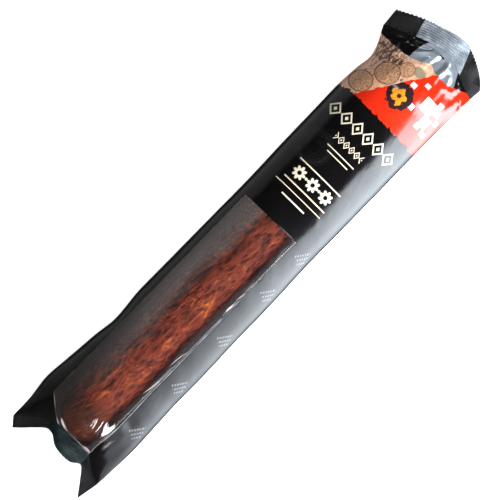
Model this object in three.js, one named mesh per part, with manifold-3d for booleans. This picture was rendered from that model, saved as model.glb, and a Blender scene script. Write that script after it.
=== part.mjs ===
// A long cured sausage in a flow-wrapped film pack, lying on the flat back of the pack.
// Millimetres, +Z up. X runs along the sausage with the clear window towards -X, and the origin is the
// middle of the pack's footprint on the surface that it rests on.

import * as THREE from "three";
import { mergeVertices } from "three/addons/utils/BufferGeometryUtils.js";
import Module from "manifold-3d";

// ---- Driving dimensions ----

const SAUSAGE_RADIUS = 21.2;
const SAUSAGE_TAIL_X = -186;
const SAUSAGE_HEAD_X = 160;
const SAUSAGE_Y = 1.5;
const SAUSAGE_Z = 23.2;
const TAIL_DOME = 28;
const HEAD_DOME = 20;
const DOME_POWER = 2.2; // 2 is a round end, more is blunter

const NECK_RADIUS = 2.6; // the gathered casing inside the clip
const NUB_RADIUS = 5.5; // the casing that flares out past the clip
const NUB_LENGTH = 11;
const CLIP_WIDTH = 3.2;
const CLIP_OUTER_RADIUS = 5;

const FILM_WALL = 0.6;
const GAP = 0.3; // left between pieces that touch
const SIDE_GAP = 0.8; // between front and back film along the sides
const SEAL_GAP = 0.8; // between the film and an end seal, measured along X
const SIDE_Z = 18; // height of the pack's widest line
const CREST_Y = 6; // the front of the pack is turned a little towards +Y
const FLAT_HALF_WIDTH = 20; // of the flat strip that the pack rests on
const FIN_HALF_WIDTH = 6;
const FIN_WALL = 0.6;

const SEAL_WALL = 1.2;
const SEAL_LIP = 1; // from the middle of an end seal to the outside of either film there
const ZIGZAG_TEETH = 46;
const ZIGZAG_DEPTH = 1.1;

const TAIL_ZONE_X = -150; // the film closes down to the tail seal from here
const HEAD_ZONE_X = 150; // and to the head seal from here

// The body of the pack: x, how far it reaches to -Y and to +Y, and the height of its crest.
const STATIONS = [
  [-190, -40.2, 41.0, 46.0],
  [-171, -41.0, 42.4, 46.0],
  [-150, -40.6, 40.5, 46.0],
  [-122, -39.7, 38.0, 46.0],
  [-104, -39.7, 35.7, 46.0],
  [-75, -39.4, 37.4, 46.0],
  [20, -38.0, 36.9, 46.0],
  [127, -37.6, 38.3, 46.0],
  [150, -37.7, 36.9, 45.8],
  [165, -37.8, 34.6, 45.5],
  [200, -38.8, 40.0, 45.0],
];

// How full each quarter of the section is: handles at the crest (or the flat) and at the side.
const FRONT_LEFT = [0.44, 0.46];
const FRONT_RIGHT = [0.6, 0.6];
const BACK_SIDE = [0.5, 0.55];

// The line where front and back film meet each end seal, and the seal's cut edge, from -Y to +Y.
const TAIL_INNER = [
  [-200, -39.3, 17],
  [-194, -27, 18.5],
  [-188, -17, 20],
  [-187, 0, 20.5],
  [-187.5, 12, 20.5],
  [-191, 21, 20.5],
  [-198, 31, 19.5],
  [-206, 39.8, 18.5],
];
const TAIL_CUT = [
  [-218.9, -35.9, 12],
  [-207.5, -28, 15],
  [-198.6, -20.5, 18.5],
  [-202.6, -12.5, 20.5],
  [-201.8, 1.5, 21],
  [-196.8, 9.5, 21],
  [-196.6, 15.5, 21],
  [-201.8, 21.5, 20],
  [-208, 27.5, 18.8],
  [-213.8, 33.6, 17.5],
];
const HEAD_INNER = [
  [190.5, -38.8, 12],
  [194, -29, 14],
  [200.5, -13, 17],
  [202, -3, 19],
  [200, 8, 20.5],
  [195, 22, 21],
  [184.5, 44.5, 20],
];
const HEAD_CUT = [
  [201, -39.5, 11.5],
  [209, -31.2, 14],
  [217.2, -14.2, 17.5],
  [218, -4, 20],
  [215, 8.3, 21.5],
  [209.2, 25.7, 22.5],
  [199.9, 45.8, 20.5],
];

// The clear window, seen from above.
const WINDOW_X = 26.5;
const WINDOW_LEFT_Y = -19.5;
const WINDOW_RIGHT_Y = 30.3;
const WINDOW_SLANT_X = -171; // the +Y border turns in towards the tail seal here
const WINDOW_SLANT_END = [-188.5, 9];

const wasm = await Module();
wasm.setup();

// ---- Materials ----

const finish = (color, roughness, metalness = 0) =>
  new THREE.MeshStandardMaterial({ color, roughness, metalness });

const sausageFinish = finish(0x6b2412, 0.55);
const clipFinish = finish(0xb8babd, 0.35, 1);
const printedFinish = finish(0x0c0b0d, 0.22);
const clearFinish = finish(0xd9d4cf, 0.08);
clearFinish.transparent = true;
clearFinish.opacity = 0.3;
const backFinish = finish(0x101013, 0.25);
const sealFinish = finish(0x2c3134, 0.3);

// ---- Solids ----

/** A closed three.js geometry as a manifold-3d solid. */
function solid(geometry) {
  const bare = geometry.clone();
  bare.deleteAttribute("normal");
  bare.deleteAttribute("uv");
  const merged = mergeVertices(bare, 1e-4);
  return new wasm.Manifold(
    new wasm.Mesh({
      numProp: 3,
      vertProperties: merged.attributes.position.array,
      triVerts: new Uint32Array(merged.index.array),
    }),
  );
}

/** A manifold-3d solid as a three.js geometry. */
function geometryOf(manifold) {
  const mesh = manifold.getMesh();
  const geometry = new THREE.BufferGeometry();
  geometry.setAttribute("position", new THREE.BufferAttribute(mesh.vertProperties, 3));
  geometry.setIndex(new THREE.BufferAttribute(mesh.triVerts, 1));
  return geometry;
}

/** The unit normal of a grid of points at [row][column], on the side that rows x columns points to. */
function gridNormal(grid, row, column) {
  const along = new THREE.Vector3().subVectors(
    grid[Math.min(row + 1, grid.length - 1)][column],
    grid[Math.max(row - 1, 0)][column],
  );
  const across = new THREE.Vector3().subVectors(
    grid[row][Math.min(column + 1, grid[row].length - 1)],
    grid[row][Math.max(column - 1, 0)],
  );
  return along.cross(across).normalize();
}

/** A closed sheet: a grid of points for one face, and the same grid moved to the other face. */
function sheet(face, otherFace) {
  const rows = face.length;
  const columns = face[0].length;
  const positions = [...face.flat(), ...otherFace.flat()].flatMap((p) => [p.x, p.y, p.z]);
  const index = [];
  const at = (row, column, layer) => layer * rows * columns + row * columns + column;
  const quad = (a, b, c, d) => index.push(a, b, c, a, c, d);
  for (let r = 0; r < rows - 1; r++)
    for (let c = 0; c < columns - 1; c++) {
      quad(at(r, c, 0), at(r + 1, c, 0), at(r + 1, c + 1, 0), at(r, c + 1, 0));
      quad(at(r, c, 1), at(r, c + 1, 1), at(r + 1, c + 1, 1), at(r + 1, c, 1));
    }
  for (let r = 0; r < rows - 1; r++) {
    quad(at(r, 0, 0), at(r, 0, 1), at(r + 1, 0, 1), at(r + 1, 0, 0));
    const last = columns - 1;
    quad(at(r, last, 0), at(r + 1, last, 0), at(r + 1, last, 1), at(r, last, 1));
  }
  for (let c = 0; c < columns - 1; c++) {
    quad(at(0, c, 0), at(0, c + 1, 0), at(0, c + 1, 1), at(0, c, 1));
    const last = rows - 1;
    quad(at(last, c, 0), at(last, c, 1), at(last, c + 1, 1), at(last, c + 1, 0));
  }
  const geometry = new THREE.BufferGeometry();
  geometry.setAttribute("position", new THREE.Float32BufferAttribute(positions, 3));
  geometry.setIndex(index);
  return geometry;
}

/** A sheet whose face is the grid and whose wall goes in from it; turn is -1 where the grid faces inwards. */
function filmSheet(grid, wall, turn) {
  const inner = grid.map((row, r) =>
    row.map((p, c) => p.clone().addScaledVector(gridNormal(grid, r, c), -turn * wall)),
  );
  return turn > 0 ? sheet(grid, inner) : sheet(inner, grid);
}

// ---- Where the film lies ----

const stationCurve = new THREE.CubicInterpolant(
  STATIONS.map((station) => station[0]),
  STATIONS.flatMap((station) => station.slice(1)),
  3,
);

/** The pack's reach to each side and the height of its crest at x. */
function station(x) {
  const [left, right, top] = stationCurve.evaluate(x);
  return { left, right, top };
}

/** The points of a list joined by one smooth curve. */
const smooth = (points) =>
  new THREE.CatmullRomCurve3(points.map((p) => new THREE.Vector3(...p)), false, "centripetal");

// Each end: its seal lines, where the film starts to close down to it, and how its height and its
// reach to the sides change from the seal (0) to the body (1): a blunt tail and a long neck.
const TAIL_END = {
  inner: smooth(TAIL_INNER),
  cut: smooth(TAIL_CUT),
  zoneX: TAIL_ZONE_X,
  rise: (q) => (1 - (1 - q) ** 3.5) ** 0.45,
  spread: (q) => 1 - (1 - q) ** 2,
};
const HEAD_END = {
  inner: smooth(HEAD_INNER),
  cut: smooth(HEAD_CUT),
  zoneX: HEAD_ZONE_X,
  rise: (q) => THREE.MathUtils.smoothstep(q, 0, 1),
  spread: (q) => 1 - (1 - q) ** 2.6,
};

/** Points of a quarter of the section, from its crest or flat (t = 0) to the side (t = 1). */
function quarter(startY, startZ, sideY, sideZ, [startHandle, sideHandle]) {
  const y = sideY - startY;
  const z = startZ - sideZ;
  return new THREE.CubicBezierCurve(
    new THREE.Vector2(startY, startZ),
    new THREE.Vector2(startY + startHandle * y, startZ),
    new THREE.Vector2(sideY, sideZ + sideHandle * z),
    new THREE.Vector2(sideY, sideZ),
  );
}

/** A column of the front film: side is -1 or 1, and t runs from the crest to that side. */
const frontColumn = (side, t) => (x) => {
  const { left, right, top } = station(x);
  const sideY = side < 0 ? left : right;
  const handles = side < 0 ? FRONT_LEFT : FRONT_RIGHT;
  return quarter(CREST_Y, top, sideY, SIDE_Z + SIDE_GAP / 2, handles).getPoint(t);
};

/** A column of the back film's rounded side, from the flat to the side. */
const backColumn = (side, t) => (x) => {
  const { left, right } = station(x);
  const sideY = side < 0 ? left : right;
  return quarter(side * FLAT_HALF_WIDTH, 0, sideY, SIDE_Z - SIDE_GAP / 2, BACK_SIDE).getPoint(t);
};

/** A column of the back film's flat strip. */
const flatColumn = (y) => () => new THREE.Vector2(y, 0);

/** How far each column lies along the section, from 0 at -Y to 1 at +Y. */
function fractions(columns) {
  const points = columns.map((column) => column(0));
  const lengths = [0];
  for (let i = 1; i < points.length; i++)
    lengths.push(lengths[i - 1] + points[i].distanceTo(points[i - 1]));
  return lengths.map((length) => length / lengths.at(-1));
}

const lerp = THREE.MathUtils.lerp;

/** A row of the film between an end seal (q = 0) and the body of the pack (q = 1). */
function endRow(columns, shares, end, lip, q) {
  return columns.map((column, c) => {
    const start = end.inner.getPoint(shares[c]);
    const x = lerp(start.x, end.zoneX, q);
    const section = column(x);
    return new THREE.Vector3(
      x,
      lerp(start.y, section.x, end.spread(q)),
      lerp(start.z + lip, section.y, end.rise(q)),
    );
  });
}

const END_STEPS = [0, 0.02, 0.06, 0.12, 0.2, 0.3, 0.42, 0.56, 0.72, 0.86];
const BODY_ROWS = 18;

/** The film's grid of points from the tail seal to the head seal, starting at END_STEPS[from]. */
function filmGrid(columns, shares, lip, from = 0) {
  const ends = END_STEPS.slice(from);
  const tail = ends.map((q) => endRow(columns, shares, TAIL_END, lip, q));
  const head = ends.map((q) => endRow(columns, shares, HEAD_END, lip, q));
  const body = Array.from({ length: BODY_ROWS + 1 }, (_, i) => {
    const x = lerp(TAIL_ZONE_X, HEAD_ZONE_X, i / BODY_ROWS);
    return columns.map((column) => {
      const section = column(x);
      return new THREE.Vector3(x, section.x, section.y);
    });
  });
  return [...tail, ...body, ...head.reverse()];
}

const steps = (count, from = 0) =>
  Array.from({ length: count + 1 - from }, (_, i) => (i + from) / count);

const FRONT_STEPS = 14;
const BACK_STEPS = 8;
const frontColumns = [
  ...steps(FRONT_STEPS, 1).reverse().map((t) => frontColumn(-1, t)),
  ...steps(FRONT_STEPS).map((t) => frontColumn(1, t)),
];

// The back film steps in over the fin seal, so that the fin lies flush with it.
const FIN_RECESS = FIN_HALF_WIDTH + GAP;
const FIN_STEP = 0.4; // how wide the slope of the recess is
const FIN_START = 3; // the fin starts at this one of END_STEPS
const flatYs = [-FLAT_HALF_WIDTH, -FIN_RECESS - FIN_STEP, -FIN_RECESS, FIN_RECESS,
  FIN_RECESS + FIN_STEP, FLAT_HALF_WIDTH];
const backColumns = [
  ...steps(BACK_STEPS, 1).reverse().map((t) => backColumn(-1, t)),
  ...flatYs.map(flatColumn),
  ...steps(BACK_STEPS, 1).map((t) => backColumn(1, t)),
];

/** The back film's grid, with its recess for the fin. */
function backGrid() {
  const grid = filmGrid(backColumns, fractions(backColumns), -SEAL_LIP);
  const pressed = [0, 1].map((i) => BACK_STEPS + flatYs.indexOf(-FIN_RECESS) + i);
  return grid.map((row, r) =>
    row.map((p, c) => {
      const inRecess = pressed.includes(c) && r >= FIN_START && r < grid.length - FIN_START;
      return inRecess ? p.clone().addScaledVector(gridNormal(grid, r, c), FIN_WALL + GAP) : p;
    }),
  );
}

/** The fin's grid, which takes the back film's shares of the seal lines, so that it follows the recess. */
function finGrid() {
  const shares = fractions(backColumns);
  const left = backColumns.length / 2 - 1;
  const slope = (shares[left + 1] - shares[left]) / (2 * FIN_RECESS);
  const ys = [-FIN_HALF_WIDTH, 0, FIN_HALF_WIDTH];
  const finShares = ys.map((y) => shares[left] + (y + FIN_RECESS) * slope);
  return filmGrid(ys.map(flatColumn), finShares, -SEAL_LIP, FIN_START);
}

// ---- Sub-parts ----

/** The sausage: one body of revolution with a blunt tail and a gathered, clipped head. */
function sausage() {
  const domeRadius = (u) => SAUSAGE_RADIUS * (1 - u ** DOME_POWER) ** (1 / DOME_POWER);
  const domeSteps = steps(12);
  const tail = domeSteps.map((u) => {
    const turned = Math.sin((u * Math.PI) / 2);
    return new THREE.Vector2(domeRadius(1 - turned), SAUSAGE_TAIL_X + TAIL_DOME * turned);
  });
  const head = domeSteps.slice(0, -1).map((u) => {
    const turned = Math.sin((u * Math.PI) / 2);
    const radius = Math.max(domeRadius(turned), NECK_RADIUS);
    return new THREE.Vector2(radius, SAUSAGE_HEAD_X - HEAD_DOME + HEAD_DOME * turned);
  });
  const nub = [
    [NECK_RADIUS, SAUSAGE_HEAD_X],
    [NECK_RADIUS, SAUSAGE_HEAD_X + CLIP_WIDTH + 2 * GAP],
    [NUB_RADIUS, SAUSAGE_HEAD_X + 0.7 * NUB_LENGTH],
    [NUB_RADIUS, SAUSAGE_HEAD_X + 0.85 * NUB_LENGTH],
    [NUB_RADIUS / 2, SAUSAGE_HEAD_X + NUB_LENGTH],
    [0, SAUSAGE_HEAD_X + NUB_LENGTH],
  ].map(([radius, x]) => new THREE.Vector2(radius, x));
  tail[0].x = 0;
  return new THREE.LatheGeometry([...tail, ...head, ...nub], 40);
}

/** The clip: a ring crimped round the gathered casing. */
function casingClip() {
  const inner = NECK_RADIUS + GAP;
  const round = 0.6;
  const half = CLIP_WIDTH / 2;
  const profile = [
    [inner, -half],
    [CLIP_OUTER_RADIUS - round, -half],
    [CLIP_OUTER_RADIUS, -half + round],
    [CLIP_OUTER_RADIUS, half - round],
    [CLIP_OUTER_RADIUS - round, half],
    [inner, half],
    [inner, -half],
  ].map(([radius, x]) => new THREE.Vector2(radius, x));
  return new THREE.LatheGeometry(profile, 24);
}

/** The window's outline as a solid through the front film, grown by a margin. */
function windowBlock(margin) {
  const [slantX, slantY] = WINDOW_SLANT_END;
  const beyond = TAIL_CUT[0][0] - margin;
  const outline = new THREE.Shape([
    new THREE.Vector2(WINDOW_X + margin, WINDOW_LEFT_Y - margin),
    new THREE.Vector2(WINDOW_X + margin, WINDOW_RIGHT_Y + margin),
    new THREE.Vector2(WINDOW_SLANT_X, WINDOW_RIGHT_Y + margin),
    new THREE.Vector2(slantX, slantY + margin),
    new THREE.Vector2(beyond, slantY + margin),
    new THREE.Vector2(beyond, WINDOW_LEFT_Y - margin),
  ]);
  const height = 60;
  return solid(new THREE.ExtrudeGeometry(outline, { depth: height, bevelEnabled: false }));
}

/** An end seal: both films pressed together, from the pack to the zigzag cut. */
function endSeal({ inner, cut }, away) {
  const half = SEAL_WALL / 2;
  const shares = steps(2 * ZIGZAG_TEETH);
  const rows = [0, 0.35, 0.7, 1];
  const middle = rows.map((r) =>
    shares.map((share, i) => {
      const start = inner.getPoint(share);
      start.x += away * SEAL_GAP;
      const end = cut.getPoint(share);
      const reach = end.clone().sub(start);
      const tooth = r === 1 && i % 2 ? ZIGZAG_DEPTH / reach.length() : 0;
      return start.addScaledVector(reach, r - tooth);
    }),
  );
  const side = (offset) =>
    middle.map((row, r) =>
      row.map((p, c) => p.clone().addScaledVector(gridNormal(middle, r, c), offset)),
    );
  return sheet(side(half), side(-half));
}

// ---- Assembly ----

const part = new THREE.Group();

/** Adds a named piece. */
function add(name, geometry, material) {
  const mesh = new THREE.Mesh(geometry, material);
  mesh.name = name;
  part.add(mesh);
  return mesh;
}

const frontGrid = filmGrid(frontColumns, fractions(frontColumns), SEAL_LIP);
const frontSheet = solid(filmSheet(frontGrid, FILM_WALL, 1));

const body = add("sausage", sausage(), sausageFinish);
body.rotation.z = -Math.PI / 2;
body.position.set(0, SAUSAGE_Y, SAUSAGE_Z);

const clip = add("casing_clip", casingClip(), clipFinish);
clip.rotation.z = -Math.PI / 2;
clip.position.set(SAUSAGE_HEAD_X + GAP + CLIP_WIDTH / 2, SAUSAGE_Y, SAUSAGE_Z);

add("front_film", geometryOf(frontSheet.subtract(windowBlock(GAP / 2))), printedFinish);
add("window_film", geometryOf(frontSheet.intersect(windowBlock(-GAP / 2))), clearFinish);
add("back_film", filmSheet(backGrid(), FILM_WALL, -1), backFinish);
add("back_fin", filmSheet(finGrid(), FIN_WALL, -1), backFinish);
add("tail_seal", endSeal(TAIL_END, -1), sealFinish);
add("head_seal", endSeal(HEAD_END, 1), sealFinish);

// The origin goes to the middle of the footprint, on the resting surface.
const box = new THREE.Box3().setFromObject(part);
const middle = box.getCenter(new THREE.Vector3());
part.position.set(-middle.x, -middle.y, -box.min.z);

export default part;
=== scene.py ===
"""A long cured sausage in a flow-wrapped film pack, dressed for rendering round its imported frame.

X runs along the sausage with the clear window towards -X, and Z is up. Shapes are worked out in
millimetres in the pack's own lines and written to the meshes in metres.
"""
import logging
import math
from dataclasses import dataclass, field
from enum import Enum
from functools import reduce
from typing import Iterable, Optional, Sequence

import bmesh
import bpy
from mathutils import Matrix, Vector, noise


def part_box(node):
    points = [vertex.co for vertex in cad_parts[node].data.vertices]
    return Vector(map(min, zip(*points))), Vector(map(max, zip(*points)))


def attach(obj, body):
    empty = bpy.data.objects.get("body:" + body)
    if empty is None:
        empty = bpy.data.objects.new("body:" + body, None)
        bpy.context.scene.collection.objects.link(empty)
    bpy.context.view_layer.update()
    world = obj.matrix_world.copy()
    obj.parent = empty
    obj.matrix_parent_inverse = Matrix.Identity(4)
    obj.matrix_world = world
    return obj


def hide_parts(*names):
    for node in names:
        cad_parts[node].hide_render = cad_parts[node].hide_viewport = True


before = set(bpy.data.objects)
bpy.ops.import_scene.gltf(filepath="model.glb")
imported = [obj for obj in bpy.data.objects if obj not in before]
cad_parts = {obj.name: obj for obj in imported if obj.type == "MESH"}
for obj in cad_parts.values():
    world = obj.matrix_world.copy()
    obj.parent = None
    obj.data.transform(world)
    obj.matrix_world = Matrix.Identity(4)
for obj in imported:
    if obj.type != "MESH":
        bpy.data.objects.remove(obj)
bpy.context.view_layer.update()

MM = 0.001
log = logging.getLogger("sausage_pack")

Colour = tuple[float, float, float, float]
Point = tuple[float, float, float]


# Small helpers.


def lerp(a: float, b: float, t: float) -> float:
    """The value a share t of the way from a to b."""
    return a + (b - a) * t


def smoothstep(low: float, high: float, value: float) -> float:
    """0 below low, 1 above high, and a smooth rise between them."""
    t = min(max((value - low) / (high - low), 0.0), 1.0)
    return t * t * (3 - 2 * t)


def bump(value: float, centre: float, width: float) -> float:
    """A smooth hump of height 1 at centre that dies out over width."""
    return math.exp(-(((value - centre) / width) ** 2))


def through(points: Sequence[Sequence[float]], share: float) -> list[float]:
    """A point of the smooth curve through a list of points.

    Args:
        points: what the curve passes through, evenly spaced in share.
        share: 0 at the first point and 1 at the last.

    Returns:
        The coordinates of the curve there.
    """
    last = len(points) - 1
    place = min(max(share, 0.0), 1.0) * last
    i = min(int(place), last - 1)
    t = place - i
    before = points[max(i - 1, 0)]
    after = points[min(i + 2, last)]
    return [
        0.5 * (2 * b + (c - a) * t + (2 * a - 5 * b + 4 * c - d) * t**2 + (3 * b - a - 3 * c + d) * t**3)
        for a, b, c, d in zip(before, points[i], points[i + 1], after)
    ]


def between(table: Sequence[Sequence[float]], x: float) -> list[float]:
    """The values of a table at x, smoothly between its rows, which start with their x."""
    x = min(max(x, table[0][0]), table[-1][0])
    i = next((n for n in range(len(table) - 1) if x <= table[n + 1][0]), len(table) - 2)
    t = (x - table[i][0]) / (table[i + 1][0] - table[i][0])
    span = table[i + 1][0] - table[i][0]

    def slope(n: int, column: int) -> float:
        """The slope of a column at row n, from the rows beside it."""
        low, high = max(n - 1, 0), min(n + 1, len(table) - 1)
        return (table[high][column] - table[low][column]) / (table[high][0] - table[low][0])

    values = []
    for column in range(1, len(table[0])):
        a, b = table[i][column], table[i + 1][column]
        da, db = slope(i, column) * span, slope(i + 1, column) * span
        starting = (2 * t**3 - 3 * t**2 + 1) * a + (t**3 - 2 * t**2 + t) * da
        values.append(starting + (3 * t**2 - 2 * t**3) * b + (t**3 - t**2) * db)
    return values


def mesh_object(
    name: str, bm: bmesh.types.BMesh, materials: Iterable[bpy.types.Material]
) -> bpy.types.Object:
    """Turns a bmesh into a smooth-shaded object at the origin.

    Args:
        name: the piece's name.
        bm: its shape in metres, which is freed.
        materials: its material slots in order.

    Returns:
        The new object, linked to the scene.
    """
    for face in bm.faces:
        face.smooth = True
    mesh = bpy.data.meshes.new(name)
    bm.to_mesh(mesh)
    bm.free()
    piece = bpy.data.objects.new(name, mesh)
    for material in materials:
        mesh.materials.append(material)
    bpy.context.scene.collection.objects.link(piece)
    return piece


def thicken(piece: bpy.types.Object, millimetres: float, inside_slot: int = 0) -> None:
    """Gives a sheet a wall that goes in from its face.

    Args:
        piece: the sheet.
        millimetres: its thickness.
        inside_slot: how many slots on from the face's own the inner face's material is.
    """
    solidify = piece.modifiers.new("wall", "SOLIDIFY")
    solidify.thickness = millimetres * MM
    solidify.offset = -1
    solidify.use_even_offset = False
    solidify.material_offset = inside_slot
    solidify.material_offset_rim = inside_slot


def place(piece: bpy.types.Object, slot: str, *nodes: str) -> None:
    """Rides a piece on the pack, hides the CAD nodes that it stands for, and logs it with its finish's name.
    """
    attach(piece, "root")
    if nodes:
        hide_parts(*nodes)
    log.info("%s: %d faces, finish %s", piece.name, len(piece.data.polygons), slot)


# Shader building.

Socket = bpy.types.NodeSocket


@dataclass
class Wiring:
    """Adds nodes to one node tree, each with its inputs in one call."""

    tree: bpy.types.NodeTree

    def add(self, kind: str, inputs: Optional[dict] = None, **settings: object) -> bpy.types.Node:
        """Adds a shader node.

        Args:
            kind: the node's type without its ShaderNode prefix.
            inputs: values or sockets by input name or number.
            settings: the node's own properties.

        Returns:
            The new node.
        """
        node = self.tree.nodes.new("ShaderNode" + kind)
        for name, value in settings.items():
            setattr(node, name, value)
        for key, value in (inputs or {}).items():
            if isinstance(value, Socket):
                self.tree.links.new(value, node.inputs[key])
            else:
                node.inputs[key].default_value = value
        return node

    def group(self, tree: bpy.types.NodeTree, **inputs: object) -> bpy.types.Node:
        """Adds a node group with its inputs, whose names have underscores for spaces."""
        node = self.tree.nodes.new("ShaderNodeGroup")
        node.node_tree = tree
        for key, value in inputs.items():
            socket = node.inputs[key.replace("_", " ")]
            if isinstance(value, Socket):
                self.tree.links.new(value, socket)
            else:
                socket.default_value = value
        return node

    def join(self, source: Socket, target: Socket) -> None:
        """Links one socket to another."""
        self.tree.links.new(source, target)

    def principled(self, out: bpy.types.Node, **inputs: object) -> None:
        """Ends a material in a Principled shader, whose inputs are named with underscores for spaces."""
        shader = self.add("BsdfPrincipled", {key.replace("_", " "): value for key, value in inputs.items()})
        self.join(shader.outputs[0], out.inputs[0])

    def position(self) -> Socket:
        """The place on the piece, in metres."""
        return self.add("TexCoord").outputs["Object"]

    def attribute(self, name: str) -> Socket:
        """One of the mesh's own attributes, as a vector."""
        return self.add("Attribute", attribute_name=name).outputs["Vector"]

    def geometry(self, operation: str, *values: object) -> Socket:
        """One Vector Math node's result: a number from a length, distance or dot product, else a vector."""
        node = self.add("VectorMath", dict(enumerate(values)), operation=operation)
        return node.outputs["Value" if operation in ("DISTANCE", "DOT_PRODUCT", "LENGTH") else "Vector"]

    def bump(self, height: Socket, distance: float, strength: float) -> Socket:
        """A normal bent by a height."""
        inputs = {"Height": height, "Distance": distance, "Strength": strength}
        return self.add("Bump", inputs).outputs[0]

    def math(self, operation: str, *values: object, clamp: bool = False) -> Socket:
        """One Math node's result."""
        return self.add("Math", dict(enumerate(values)), operation=operation, use_clamp=clamp).outputs[0]

    def less(self, first: object, second: object, clamp: bool = False) -> Socket:
        """The first value less the second."""
        return self.math("SUBTRACT", first, second, clamp=clamp)

    def ratio(self, first: object, second: object, clamp: bool = False) -> Socket:
        """The first value divided by the second."""
        return self.math("DIVIDE", first, second, clamp=clamp)

    def size(self, value: object) -> Socket:
        """A value without its sign."""
        return self.math("ABSOLUTE", value)

    def sine(self, value: object) -> Socket:
        """The sine of a value."""
        return self.math("SINE", value)

    def total(self, *values: object) -> Socket:
        """The sum of several values."""
        return reduce(lambda result, value: self.math("ADD", result, value), values)

    def product(self, *values: object) -> Socket:
        """The product of several values."""
        return reduce(lambda result, value: self.math("MULTIPLY", result, value), values)

    def most(self, *values: object) -> Socket:
        """The greatest of several values."""
        return reduce(lambda result, value: self.math("MAXIMUM", result, value), values)

    def ramp(self, value: object, low: float, high: float, start: float = 0.0, end: float = 1.0) -> Socket:
        """A smooth step of a value from start at low to end at high."""
        inputs = {"Value": value, "From Min": low, "From Max": high, "To Min": start, "To Max": end}
        return self.add("MapRange", inputs, interpolation_type="SMOOTHSTEP").outputs[0]

    def blend(self, factor: object, first: object, second: object) -> Socket:
        """A mix of two colours."""
        node = self.add("Mix", {0: factor, 6: first, 7: second}, data_type="RGBA")
        return node.outputs[2]

    def axes(self, vector: Socket) -> list[Socket]:
        """A vector's three parts."""
        return list(self.add("SeparateXYZ", {0: vector}).outputs)

    def vector(self, x: object = 0.0, y: object = 0.0, z: object = 0.0) -> Socket:
        """A vector from its three parts."""
        return self.add("CombineXYZ", {0: x, 1: y, 2: z}).outputs[0]

    def scaled(self, vector: Socket, scale: Point, shift: Point = (0.0, 0.0, 0.0)) -> Socket:
        """A vector stretched by a Mapping node, so that a pattern has its own scale along each axis."""
        return self.add("Mapping", {"Vector": vector, "Scale": scale, "Location": shift}).outputs[0]

    def noise(self, vector: Socket, scale: float, detail: float = 2.0, rough: float = 0.5) -> Socket:
        """Soft noise between 0 and 1."""
        inputs = {"Vector": vector, "Scale": scale, "Detail": detail, "Roughness": rough}
        return self.add("TexNoise", inputs).outputs[0]


def new_group(name: str, inputs: dict, outputs: dict) -> tuple[Wiring, bpy.types.Node, bpy.types.Node]:
    """Starts a shader node group.

    Args:
        name: the group's name.
        inputs: socket names and default values, a number or a three-part vector.
        outputs: socket names and socket types.

    Returns:
        Its wiring, its input node and its output node.
    """
    tree = bpy.data.node_groups.new(name, "ShaderNodeTree")
    for label, value in inputs.items():
        kind = "NodeSocketVector" if isinstance(value, tuple) else "NodeSocketFloat"
        socket = tree.interface.new_socket(label, in_out="INPUT", socket_type=kind)
        socket.default_value = value
    for label, kind in outputs.items():
        tree.interface.new_socket(label, in_out="OUTPUT", socket_type=kind)
    return Wiring(tree), tree.nodes.new("NodeGroupInput"), tree.nodes.new("NodeGroupOutput")


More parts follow.
